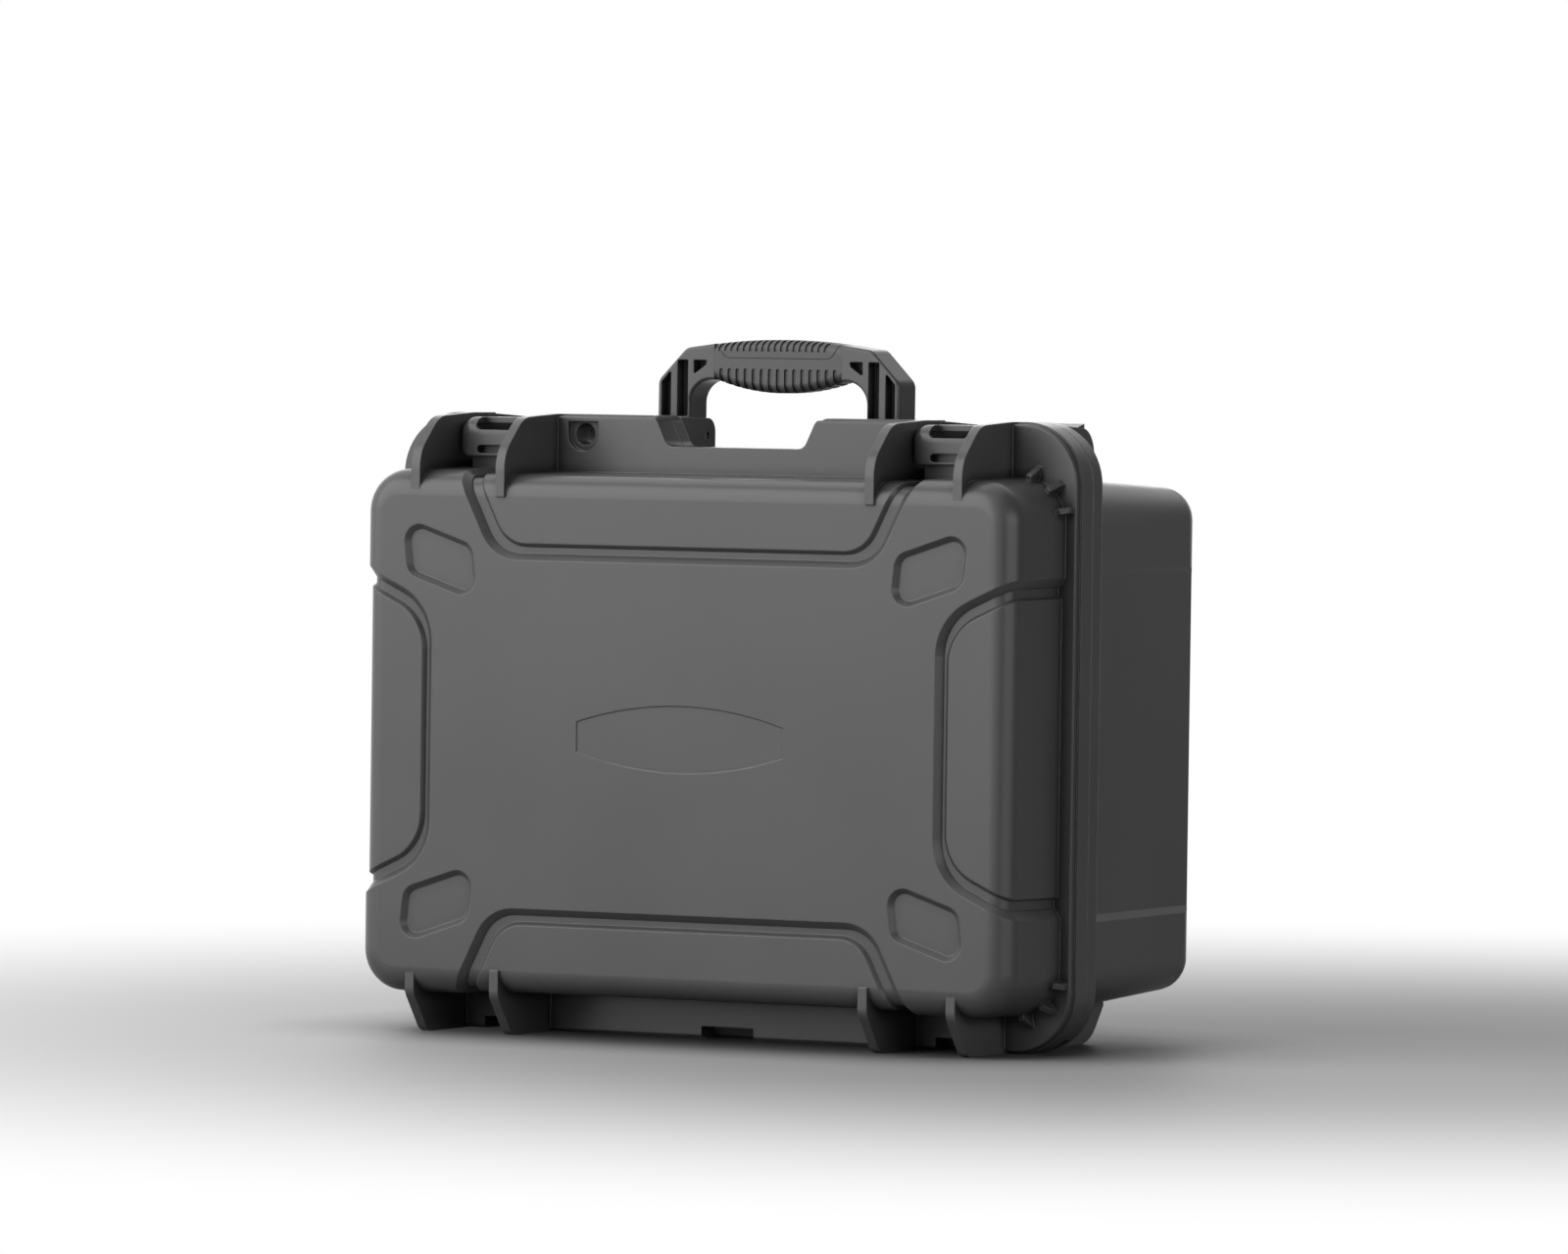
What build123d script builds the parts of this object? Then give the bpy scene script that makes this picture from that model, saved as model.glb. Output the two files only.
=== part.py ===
from build123d import *
import os
from math import cos, radians, sin, tan

# Protective case standing on its hinge side, as it is carried.
# Millimetres, +Z up, X across the width, the lid towards -Y, the base towards +Y.
# The model is drawn with the parting plane at y = 0 and its standing edge at z = 0,
# and every part is moved at the end so that the origin is under the middle of the case.

# Moulded body
BODY_WIDTH = 408.0
BODY_HEIGHT = 292.0
BODY_BOTTOM_Z = 20.4
BODY_TOP_Z = BODY_BOTTOM_Z + BODY_HEIGHT
BODY_MID_Z = BODY_BOTTOM_Z + BODY_HEIGHT / 2
BODY_CORNER_R = 25.0
LID_DEPTH = 77.6
BASE_DEPTH = 160.5
LID_DRAFT = 1.6
BASE_DRAFT = 2.5
LID_FRONT_R = 14.0
BASE_BACK_R = 15.0
WALL = 3.5
PARTING_GAP = 0.4

# Rim all round the parting plane
RIM_SIDE = 7.0
RIM_TOP_Z = BODY_TOP_Z + 29.6
RIM_CORNER_R = 34.0
LID_RIM_DEPTH = 18.2
BASE_RIM_DEPTH = 10.5
LIP_DEPTH = 5.0
LIP_STEP = 1.2
LIP_ROUND = 1.0

# Grooves between the centre plate and the four waist panels of the lid
GROOVE_DEPTH = 4.0
GROOVE_SLOPE = 3.6
PANEL_SINK = 1.8
PANEL_BEVEL = 2.0
PLATE_HALF_WIDTH = 156.0
PLATE_HALF_HEIGHT = 95.5
GROOVE_WIDTH = 9.4
SIDE_GROOVE_WIDTH = 7.4
TOP_WAIST_HALF = 118.4
TOP_WAIST_LEAN = 26.4
TOP_WAIST_R = 25.0
SIDE_WAIST_HALF = 70.4
SIDE_WAIST_LEAN = 25.0
SIDE_WAIST_R = 33.0
PANEL_SHORTER = 7.9
PANEL_CORNER_LESS = 6.0
WAIST_REACH = 82.0

# Corner pads and the name plate field, both sunk and left bare
PAD_X = 151.7
PAD_Z = 95.0
PAD_WIDTH = 45.0
PAD_HEIGHT = 32.0
PAD_SLANT = 15.0
PAD_LEAN = 3.5
PAD_R = 9.5
PAD_DEPTH = 3.0
PAD_TAPER = 45.0
PLATE_FIELD_WIDTH = 128.4
PLATE_FIELD_SIDE = 16.2
PLATE_FIELD_HEIGHT = 36.6
PLATE_FIELD_SINK = 0.5

# Twin ribs either side of each latch and each hinge
RIB_THICKNESS = 5.5
RIB_INNER_X = 114.5
RIB_OUTER_X = 168.0
RIB_ROOT = 10.0
RIB_FRONT_INSET = 0.3
RIB_FRONT_FOOT = 15.9
RIB_FRONT_ROOT = 17.0
RIB_KNEE = 7.6
RIB_CREST_Y = -56.0
RIB_CREST_DROP = 2.0
RIB_CREST_R = 20.0
RIB_LID_FOOT_Y = -60.5
RIB_LID_FOOT_Z = 22.0
RIB_LID_FOOT_R = 8.0
RIB_BASE_DROP = 0.3
RIB_BASE_LENGTH = 82.0
RIB_BASE_KNEE_Y = 77.0
RIB_BASE_KNEE_DROP = 4.0
RIB_BASE_TOE = 5.6
RIB_BASE_R = 15.0
RIB_FOOT_LENGTH = 101.0
RIB_FOOT_KNEE_Y = 85.0
RIB_FOOT_TOE_Z = 20.0
RIB_FOOT_R = 25.0

# Corner gussets
GUSSET_ANGLES = (15.0, 45.0, 75.0)
GUSSET_LENGTH = 7.0
GUSSET_DEPTH = 10.0
GUSSET_THICKNESS = 3.3
GUSSET_MARGIN = 3.0
GUSSET_ROOT = 6.0
GUSSET_TOE = 1.0
GUSSET_CREST = 2.0

# Cut-out for the hand, padlock hole and its pocket
CUTOUT_FLOOR_Z = BODY_TOP_Z + 12.6
CUTOUT_HALF = 42.5
CUTOUT_FLARE = 8.0
CUTOUT_R = 6.0
CUTOUT_TOP_R = 7.0
CUTOUT_OVER = 10.0
PADLOCK_X = -95.7
PADLOCK_Z = BODY_TOP_Z + 18.6
PADLOCK_R = 6.0
PADLOCK_POCKET_R = 9.4
PADLOCK_POCKET_DEPTH = 3.0
PADLOCK_POCKET_RISE = 7.0

# Hinges along the standing edge
HINGE_Z = 6.0
HINGE_BARREL_R = 5.6
HINGE_PIN_R = 2.2
HINGE_SIDE_WINDOW = 25.0
HINGE_MIDDLE_WINDOW = 32.5
HINGE_KNUCKLE = 9.5
HINGE_WINDOW_Z = 6.8
HINGE_END_GAP = 0.5
HINGE_SWEEP = 0.6
HINGE_OPEN_RELIEF = 7.8
HINGE_RELIEF_Z = 7.2

# Seal
SEAL_R = 2.4
SEAL_INSET = 1.5
TONGUE_WIDTH = 3.0
TONGUE_HEIGHT = 1.8

# Latches: a lever on the base carries a claw that hooks over a catch on the lid
LATCH_HALF = 23.5
LATCH_FLOOR_Z = BODY_TOP_Z + 3.6
LATCH_PIVOT_Y = 16.0
LATCH_PIVOT_Z = BODY_TOP_Z + 11.1
LATCH_PIN_R = 2.5
LATCH_BARREL_R = 5.8
CLAW_PIVOT_Y = 31.0
CLAW_PIVOT_Z = BODY_TOP_Z + 18.6
CLAW_PIN_R = 2.0
CLAW_BARREL_R = 5.0
CLAW_WALL = 3.6
CLAW_FRONT_Y = -38.0
CLAW_TOP_Z = BODY_TOP_Z + 27.3
CLAW_BOTTOM_Z = BODY_TOP_Z + 5.4
CLAW_SHELL_LENGTH = 36.0
CLAW_SHELL_TOE = 17.0
CLAW_ARM_DROP = 3.0
CLAW_ARM_START = 34.0
CLAW_FACE = 3.2
CLAW_ROOF = 3.2
CLAW_BROW_R = 9.5
CLAW_CORNER_R = 8.0
CLAW_WINDOW_WIDTH = 24.0
CLAW_WINDOW_Z = BODY_TOP_Z + 20.3
CLAW_WINDOW_DEPTH = 13.0
CLAW_WINDOW_R = 3.0
CLAW_SLOT_WIDTH = 21.0
CLAW_SLOT_HEIGHT = 4.6
CLAW_SLOT_RISE = 4.1
CLAW_SLOT_R = 2.0
LEVER_END_Y = 88.0
LEVER_TOP_Z = BODY_TOP_Z + 25.8
LEVER_PLATE = 3.4
LEVER_SIDE = 3.0
LEVER_NECK = 5.0
LEVER_STEP = 4.0
LEVER_TIP = 10.0
LEVER_TIP_RISE = 2.5
LEVER_TIP_DROP = 1.5
LEVER_SKIRT_FADE = 12.0
LEVER_SKIRT_RISE = 6.0
LEVER_SKIRT_Z = BODY_TOP_Z + 10.6
CATCH_WIDTH = 34.0
CATCH_TOP_Z = BODY_TOP_Z + 19.6
CATCH_LIP = 4.0
CATCH_LIP_HEIGHT = 6.0
CATCH_STEP = 3.0

# Carry handle on two ears behind the cut-out
EAR_FACE_X = 49.5
EAR_THICKNESS = 5.2
EAR_END_Y = 49.6
EAR_TOP_Z = BODY_TOP_Z + 28.0
EAR_FRONT_DROP = 0.8
EAR_END_R = 8.0
HANDLE_PIVOT_Y = 40.4
HANDLE_PIVOT_Z = BODY_TOP_Z + 18.5
HANDLE_PIN_R = 2.0
HANDLE_PIN_LENGTH = 18.0
PIN_SINK = 1.0
HANDLE_HALF = 75.5
HANDLE_LEG = 20.1
HANDLE_DEPTH = 21.0
HANDLE_RISE = 69.6
HANDLE_TOP_Z = BODY_TOP_Z + HANDLE_RISE
HANDLE_BAR = 20.0
HANDLE_BAR_Z = HANDLE_TOP_Z - HANDLE_BAR
HANDLE_SHOULDER = 17.5
HANDLE_SHOULDER_R = 7.0
HANDLE_SLOPE = 2.5
HANDLE_INNER_R = 13.0
HANDLE_ROUND = 1.6
POCKET_DEPTH = 8.0
POCKET_R = 0.8
POCKET_TOP = 9.2
OUTER_POCKET = (2.3, 8.3)
OUTER_POCKET_DROP = (5.5, 12.3)
INNER_POCKET = (12.2, 19.0)
CORNER_POCKET = (22.5, 31.0)
CORNER_POCKET_DROP = (2.8, 8.0)

# Soft grip on the bar: slots round the belly, slanting grooves over the crown
GRIP_HALF = 40.0
GRIP_BELLY = 7.0
GRIP_CROWN = 2.5
GRIP_ROUND = 5.0
GRIP_CORE = 6.5
GRIP_CORE_FLOOR = 3.0
GRIP_CORE_ROOF = 4.0
SLOT_COUNT = 15
SLOT_PITCH = 5.08
SLOT_WIDTH = 2.3
SLOT_TOP = 6.3
SLOT_DEPTH = 1.0
CROWN_COUNT = 18
CROWN_PITCH = 3.9
CROWN_WIDTH = 1.7
CROWN_ANGLE = 20.0
CROWN_DEPTH = 0.8
CROWN_BAND = 4.0
SEAM_HALF = 33.5
SEAM_LEAN = 5.5
SEAM_DROP = 7.7
SEAM_R = 6.0
SEAM_WIDTH = 0.4
SEAM_DEPTH = 0.3

# Pressure valve on top of the base, behind the ears
VALVE_Y = 34.0
VALVE_R = 11.0
VALVE_FLANGE = 2.6
VALVE_STEM_R = 5.0
VALVE_STEM_LENGTH = 14.0
VALVE_KNOB_R = 8.5
VALVE_KNOB_HEIGHT = 3.6
VALVE_KNOB_GAP = 0.2
VALVE_KNOB_BEVEL = 0.8
VALVE_SCALLOPS = 12
VALVE_SCALLOP_R = 1.2
VALVE_SEAT_Z = BODY_TOP_Z + 1.0
VALVE_BOSS = 2.0
WASHER = 0.8

# Foam in the two halves
FOAM_LID = 18.0
FOAM_BASE = 12.0
FOAM_GAP = 0.6

# Recessed zone along the two short sides of the base
SIDE_RECESS = 2.0
SIDE_RECESS_HALF = 91.8
SIDE_RECESS_SLOPE = 4.0

RUNNING = 0.08
CLEAR = 0.3

CATCH_FRONT_Y = CLAW_FRONT_Y + CLAW_FACE + CLEAR
BAY_X = (RIB_INNER_X + RIB_OUTER_X) / 2
RIM_HALF = BODY_WIDTH / 2 + RIM_SIDE
CENTRE_Y = (LID_DEPTH - BASE_DEPTH) / 2
FAR = 2 * BODY_WIDTH
PAST = 1.0
TOUCH = 0.02


def facing(y, z=BODY_MID_Z):
    """Plane square to Y at y, seen from the lid side: x to the right, z up."""
    return Plane(origin=(0, y, z), x_dir=(1, 0, 0), z_dir=(0, -1, 0))


def plate(outline, back, front, z=BODY_MID_Z, taper=0.0):
    """Outline in X and Z, drawn at y = back and carried forward to y = front."""
    return extrude(facing(back, z) * outline, back - front, dir=(0, -1, 0), taper=taper)


def web(outline, x, thickness):
    """Outline in Y and Z, carried thickness wide about x."""
    return extrude(Plane.YZ.offset(x - thickness / 2) * outline, thickness, dir=(1, 0, 0))


def rod(x0, x1, y, z, radius):
    """Round bar along X between two places, given in either order."""
    low, high = sorted((x0, x1))
    return extrude(Plane(origin=(low, y, z), z_dir=(1, 0, 0)) * Circle(radius), high - low)


def block(x0, x1, y0, y1, z0, z1):
    """Box between two corners."""
    return Pos((x0 + x1) / 2, (y0 + y1) / 2, (z0 + z1) / 2) * Box(x1 - x0, y1 - y0, z1 - z0)


def polygon(*points):
    """Closed face through the points, in the order given."""
    return Polygon(*points, align=None)


def round_corners(face, radius, pick):
    """Round the corners of a flat face that pick accepts."""
    return fillet([v for v in face.vertices() if pick(v.X, v.Y)], radius)


def mirrored(part):
    """The part and its twin across the middle of the case."""
    return [part, mirror(part, about=Plane.YZ)]


# Lid

def lid_form(inset=0.0):
    """Outer form of the lid with every face moved in by inset."""
    outline = RectangleRounded(BODY_WIDTH - 2 * inset, BODY_HEIGHT - 2 * inset, BODY_CORNER_R - inset)
    form = plate(outline, 0, inset - LID_DEPTH, taper=LID_DRAFT)
    front = form.faces().sort_by(Axis.Y)[0]
    return fillet(front.edges(), LID_FRONT_R - inset)


def waist(inner, half, lean, radius):
    """Trapezoid that opens outwards from its inner edge, with its inner corners rounded."""
    spread = WAIST_REACH * tan(radians(lean))
    face = polygon((-half, inner), (half, inner), (half + spread, inner + WAIST_REACH),
                   (-half - spread, inner + WAIST_REACH))
    return round_corners(face, radius, lambda u, v: v < inner + PAST)


def four_sides(tall, wide):
    """The top and side shapes and their opposites."""
    return [tall, Rot(0, 0, 180) * tall, Rot(0, 0, -90) * wide, Rot(0, 0, 90) * wide]


def waist_notches():
    """Outer bounds of the four grooves, on the lid's surface."""
    return four_sides(
        waist(PLATE_HALF_HEIGHT, TOP_WAIST_HALF, TOP_WAIST_LEAN, TOP_WAIST_R),
        waist(PLATE_HALF_WIDTH, SIDE_WAIST_HALF, SIDE_WAIST_LEAN, SIDE_WAIST_R))


def waist_panels():
    """The four raised panels inside the grooves, on the lid's surface."""
    return four_sides(
        waist(PLATE_HALF_HEIGHT + GROOVE_WIDTH, TOP_WAIST_HALF - PANEL_SHORTER, TOP_WAIST_LEAN,
              TOP_WAIST_R - PANEL_CORNER_LESS),
        waist(PLATE_HALF_WIDTH + SIDE_GROOVE_WIDTH, SIDE_WAIST_HALF - PANEL_SHORTER, SIDE_WAIST_LEAN,
              SIDE_WAIST_R - PANEL_CORNER_LESS))


def surface_edges(solid, form, outline):
    """Edges of the solid that run over the form's surface along an outline's walls."""
    flat = facing(0) * outline
    found = []
    for edge in solid.edges():
        middle = edge.position_at(0.5)
        if middle.Y > -PARTING_GAP / 2:
            continue
        if min(face.distance_to(middle) for face in form.faces()) > TOUCH:
            continue
        if min(wire.distance_to(Vertex(middle.X, 0, middle.Z)) for wire in flat.wires()) < TOUCH:
            found.append(edge)
    return found


def raised(form, outline, bevel):
    """The part of the form over an outline, with its upper edges bevelled."""
    solid = form & plate(outline, 0, -LID_DEPTH)
    return chamfer(surface_edges(solid, form, outline), bevel)


def lid_outer():
    """Lid body: groove floor, centre plate with its four arms, and waist panels."""
    outer = lid_form()
    centre = Rectangle(FAR, FAR)
    for notch in waist_notches():
        centre -= offset(notch, -GROOVE_SLOPE)
    body = lid_form(GROOVE_DEPTH) + raised(outer, centre, GROOVE_SLOPE)
    for panel in waist_panels():
        body += raised(lid_form(PANEL_SINK), offset(panel, PANEL_BEVEL), PANEL_BEVEL)
    return body


def pad_outline():
    """Slanted four-sided field with round corners, for the upper right corner."""
    half_w, half_h = PAD_WIDTH / 2, PAD_HEIGHT / 2
    lean, slant = PAD_LEAN / 2, PAD_SLANT / 2
    face = polygon((-half_w - lean, -half_h - slant), (half_w - lean, -half_h + slant),
                   (half_w + lean, half_h + slant), (-half_w + lean, half_h - slant))
    return round_corners(face, PAD_R, lambda u, v: True)


def lid_pads():
    """Tapered cutters for the four corner pads."""
    pad = pad_outline()
    cutters = []
    for sx in (1, -1):
        for sz in (1, -1):
            field = pad
            if sx < 0:
                field = mirror(field, about=Plane.YZ)
            if sz < 0:
                field = mirror(field, about=Plane.XZ)
            spot = facing(-LID_DEPTH) * Pos(sx * PAD_X, sz * PAD_Z) * field
            cutters.append(extrude(spot, PAD_DEPTH, dir=(0, 1, 0), taper=PAD_TAPER))
    return cutters


def name_field():
    """Shallow barrel-shaped field in the middle of the lid, left bare."""
    half_w, side, rise = PLATE_FIELD_WIDTH / 2, PLATE_FIELD_SIDE / 2, PLATE_FIELD_HEIGHT / 2
    edges = [
        Line((half_w, -side), (half_w, side)),
        ThreePointArc((half_w, side), (0, rise), (-half_w, side)),
        Line((-half_w, side), (-half_w, -side)),
        ThreePointArc((-half_w, -side), (0, -rise), (half_w, -side)),
    ]
    return plate(make_face(edges), PLATE_FIELD_SINK - LID_DEPTH, -LID_DEPTH - PAST)


def rim_outline(inset=0.0):
    """Outer bound of the rim, from the standing edge to the top, about its own middle."""
    return RectangleRounded(2 * (RIM_HALF - inset), RIM_TOP_Z - 2 * inset, RIM_CORNER_R - inset)


def hand_cutout():
    """Flared cut-out for the hand, whose upper corners roll over into the top of the rim."""
    top = CUTOUT_HALF + CUTOUT_FLARE
    wide = top + CUTOUT_OVER
    over = RIM_TOP_Z + CUTOUT_OVER
    face = polygon((-CUTOUT_HALF, CUTOUT_FLOOR_Z), (CUTOUT_HALF, CUTOUT_FLOOR_Z), (top, RIM_TOP_Z),
                   (wide, RIM_TOP_Z), (wide, over), (-wide, over), (-wide, RIM_TOP_Z), (-top, RIM_TOP_Z))
    face = round_corners(face, CUTOUT_R, lambda u, v: v < CUTOUT_FLOOR_Z + PAST)
    return round_corners(face, CUTOUT_TOP_R, lambda u, v: abs(abs(u) - top) < PAST)


def rim_top_cuts(y0, y1):
    """Spaces cut from the top of a rim: the hand cut-out and the two latch bays."""
    bay_half = (RIB_OUTER_X - RIB_INNER_X) / 2
    cuts = [plate(hand_cutout(), y1, y0, z=0)]
    for sx in (1, -1):
        cuts.append(block(sx * BAY_X - bay_half, sx * BAY_X + bay_half, y0, y1, LATCH_FLOOR_Z, FAR))
    return cuts


def lid_rim():
    """Rim of the lid with its stepped front lip."""
    step_y = LIP_DEPTH - LID_RIM_DEPTH
    rim = plate(rim_outline(), 0, step_y, z=RIM_TOP_Z / 2)
    lip = plate(rim_outline(LIP_STEP), step_y, -LID_RIM_DEPTH, z=RIM_TOP_Z / 2)
    front = lip.faces().sort_by(Axis.Y)[0]
    rim += fillet(front.edges(), LIP_ROUND)
    for cut in rim_top_cuts(-LID_RIM_DEPTH - PAST, PAST):
        rim -= cut
    return rim


def lid_rib_outline():
    """Side views of a lid rib above and below the body, from the parting plane to the front."""
    front = RIB_FRONT_INSET - LID_DEPTH
    back = front + RIB_FRONT_ROOT
    foot_top = BODY_TOP_Z - RIB_FRONT_FOOT
    foot_low = BODY_BOTTOM_Z + RIB_FRONT_FOOT
    upper = polygon((0, RIM_TOP_Z), (-LID_RIM_DEPTH, RIM_TOP_Z), (RIB_CREST_Y, RIM_TOP_Z - RIB_CREST_DROP),
                    (front, BODY_TOP_Z + RIB_KNEE), (front, foot_top), (back, foot_top),
                    (0, BODY_TOP_Z - RIB_ROOT))
    upper = round_corners(upper, RIB_CREST_R, lambda u, v: u < RIB_CREST_Y + PAST and v > BODY_TOP_Z)
    lower = polygon((0, 0), (RIB_LID_FOOT_Y, 0), (front, RIB_LID_FOOT_Z), (front, foot_low),
                    (back, foot_low), (0, BODY_BOTTOM_Z + RIB_ROOT))
    feet = RIB_LID_FOOT_Y + PAST
    lower = round_corners(lower, RIB_LID_FOOT_R, lambda u, v: u < feet and v < foot_low - PAST)
    return [upper, lower]


def rib_places():
    """The four rib positions across the case."""
    return [sx * x for sx in (-1, 1) for x in (RIB_INNER_X, RIB_OUTER_X)]


def gusset():
    """One web from the body's corner out over the rim, drawn along X from the corner's centre."""
    face_y = -LID_RIM_DEPTH
    inner = BODY_CORNER_R - GUSSET_ROOT
    outer = BODY_CORNER_R + GUSSET_LENGTH
    root_y = face_y + GUSSET_CREST
    outline = polygon((inner, root_y), (outer, root_y), (outer, face_y - GUSSET_TOE),
                      (BODY_CORNER_R + GUSSET_CREST, face_y - GUSSET_DEPTH), (inner, face_y - GUSSET_DEPTH))
    return extrude(Plane.XY.offset(-GUSSET_THICKNESS / 2) * outline, GUSSET_THICKNESS, dir=(0, 0, 1))


def lid_gussets():
    """Three short webs between the body and the rim at each corner."""
    centre_x = BODY_WIDTH / 2 - BODY_CORNER_R
    centre_z = BODY_HEIGHT / 2 - BODY_CORNER_R
    inside = plate(rim_outline(GUSSET_MARGIN), 0, -LID_DEPTH, z=RIM_TOP_Z / 2)
    gussets = []
    for angle in GUSSET_ANGLES:
        fin = Pos(centre_x, 0, centre_z) * Rot(0, -angle, 0) * gusset()
        for twin in mirrored(fin):
            gussets.append(Pos(0, 0, BODY_MID_Z) * twin & inside)
            gussets.append(Pos(0, 0, BODY_MID_Z) * mirror(twin, about=Plane.XY) & inside)
    return gussets


def padlock_bore(y0, y1):
    """Hole for a padlock through a rim."""
    return plate(Pos(PADLOCK_X, PADLOCK_Z) * Circle(PADLOCK_R), y1, y0, z=0)


def padlock_pocket():
    """Flat-topped, round-bottomed pocket in front of the padlock hole."""
    wide = 2 * PADLOCK_POCKET_R
    rise = PADLOCK_POCKET_RISE
    shape = Circle(PADLOCK_POCKET_R) + Pos(0, rise / 2) * Rectangle(wide, rise)
    shape &= Pos(0, rise - wide) * Rectangle(2 * wide, 2 * wide)
    face_y = -LID_RIM_DEPTH
    return plate(Pos(PADLOCK_X, PADLOCK_Z) * shape, face_y + PADLOCK_POCKET_DEPTH, face_y - PAST, z=0)


def catch(sx):
    """Ledge on the lid that the claw hooks over, undercut below its lip."""
    low = BODY_TOP_Z - RIB_ROOT
    back = CATCH_LIP - LID_RIM_DEPTH
    lip_z = CATCH_TOP_Z - CATCH_LIP_HEIGHT
    knee = CATCH_FRONT_Y + 2 * CATCH_STEP
    sunk = CATCH_FRONT_Y + CATCH_STEP
    face = polygon((back, low), (back, LATCH_FLOOR_Z), (knee, LATCH_FLOOR_Z + CATCH_LIP_HEIGHT),
                   (CATCH_FRONT_Y + CATCH_LIP, CATCH_TOP_Z), (CATCH_FRONT_Y, CATCH_TOP_Z),
                   (CATCH_FRONT_Y, lip_z), (sunk, lip_z - CATCH_STEP / 2), (sunk, low))
    return web(face, sx * BAY_X, CATCH_WIDTH)


def hinge_places():
    """Centre and window width of each of the three hinges."""
    return [(-BAY_X, HINGE_SIDE_WINDOW), (0.0, HINGE_MIDDLE_WINDOW), (BAY_X, HINGE_SIDE_WINDOW)]


def seal_outline():
    """Middle line of the seal, just outside the cavity of the lid."""
    width = BODY_WIDTH - 2 * SEAL_INSET
    return RectangleRounded(width, BODY_HEIGHT - 2 * SEAL_INSET, BODY_CORNER_R - SEAL_INSET)


def seal_band(width, y0, y1):
    """Ring that follows the seal channel."""
    outline = seal_outline()
    ring = offset(outline, width / 2) - offset(outline, -width / 2)
    return plate(ring, y1, y0)


def lid_shell():
    """Lid moulding."""
    body = lid_outer() + lid_rim()
    for x in rib_places():
        for outline in lid_rib_outline():
            body += web(outline, x, RIB_THICKNESS)
    for fin in lid_gussets():
        body += fin
    for sx in (1, -1):
        body += catch(sx)
    body -= lid_form(GROOVE_DEPTH + WALL)
    body -= block(-FAR, FAR, -PARTING_GAP, FAR, -FAR, FAR)
    for cut in lid_pads():
        body -= cut
    body -= name_field()
    body -= padlock_bore(-LID_RIM_DEPTH - PAST, PAST)
    body -= padlock_pocket()
    channel = 2 * (SEAL_R + CLEAR)
    body -= seal_band(channel, -TONGUE_HEIGHT - channel, PAST)
    for x, window in hinge_places():
        body = lid_hinge(body, x, window)
    return body


def lid_hinge(body, x, window):
    """Cut one hinge window in the lid and add the two knuckles beside it."""
    half = window / 2
    body -= rod(x - half, x + half, 0, HINGE_Z, HINGE_BARREL_R + HINGE_SWEEP)
    body -= block(x - half, x + half, -LID_RIM_DEPTH - PAST, 0, -PAST, HINGE_WINDOW_Z)
    for side in (-1, 1):
        near = x + side * (half + HINGE_END_GAP)
        body += rod(near, near + side * HINGE_KNUCKLE, 0, HINGE_Z, HINGE_BARREL_R)
    reach = half + HINGE_END_GAP + HINGE_KNUCKLE + PAST
    return body - rod(x - reach, x + reach, 0, HINGE_Z, HINGE_PIN_R + RUNNING)


# Base

def base_form(inset=0.0, back=BASE_DEPTH):
    """Outer form of the base with every face moved in by inset, drawn from its back."""
    depth = back - inset
    shrink = 2 * (inset + depth * tan(radians(BASE_DRAFT)))
    corner = BODY_CORNER_R - shrink / 2
    outline = RectangleRounded(BODY_WIDTH - shrink, BODY_HEIGHT - shrink, corner)
    form = plate(outline, depth, 0, taper=-BASE_DRAFT)
    rear = form.faces().sort_by(Axis.Y)[-1]
    return fillet(rear.edges(), BASE_BACK_R - inset)


def side_recesses(inset=0.0):
    """Shallow zones let into the short sides of the base, which follow the draft, moved in by inset."""
    half = SIDE_RECESS_HALF + inset
    floor = BODY_WIDTH / 2 - SIDE_RECESS - inset
    reach = SIDE_RECESS + inset + PAST
    mouth = half + SIDE_RECESS_SLOPE * reach / SIDE_RECESS
    face = polygon((floor, -half), (floor + reach, -mouth), (floor + reach, mouth), (floor, half))
    slope = tan(radians(BASE_DRAFT))
    start = facing(-PAST) * Pos(slope * PAST, 0) * face
    return mirrored(extrude(start, (BASE_DEPTH + 2 * PAST) / cos(radians(BASE_DRAFT)), dir=(-slope, 1, 0)))


def base_rib_outline():
    """Side views of a base rib above and below the body."""
    top_root = BODY_TOP_Z - RIB_ROOT
    low_root = BODY_BOTTOM_Z + RIB_ROOT
    upper = polygon((0, top_root), (0, RIM_TOP_Z - RIB_BASE_DROP),
                    (RIB_BASE_KNEE_Y, RIM_TOP_Z - RIB_BASE_KNEE_DROP),
                    (RIB_BASE_LENGTH, BODY_TOP_Z + RIB_BASE_TOE), (RIB_BASE_LENGTH, top_root))
    upper = round_corners(upper, RIB_BASE_R, lambda u, v: abs(u - RIB_BASE_KNEE_Y) < PAST)
    lower = polygon((0, low_root), (0, 0), (RIB_FOOT_KNEE_Y, 0), (RIB_FOOT_LENGTH, RIB_FOOT_TOE_Z),
                    (RIB_FOOT_LENGTH, low_root))
    lower = round_corners(lower, RIB_FOOT_R, lambda u, v: abs(u - RIB_FOOT_KNEE_Y) < PAST)
    return [upper, lower]


def ear():
    """Right-hand ear that carries the handle."""
    low = BODY_TOP_Z - RIB_ROOT
    face = polygon((BASE_RIM_DEPTH, low), (EAR_END_Y, low), (EAR_END_Y, EAR_TOP_Z),
                   (BASE_RIM_DEPTH, RIM_TOP_Z - EAR_FRONT_DROP))
    face = round_corners(face, EAR_END_R, lambda u, v: u > BASE_RIM_DEPTH + PAST and v > BODY_TOP_Z)
    return web(face, EAR_FACE_X + EAR_THICKNESS / 2, EAR_THICKNESS)


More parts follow.
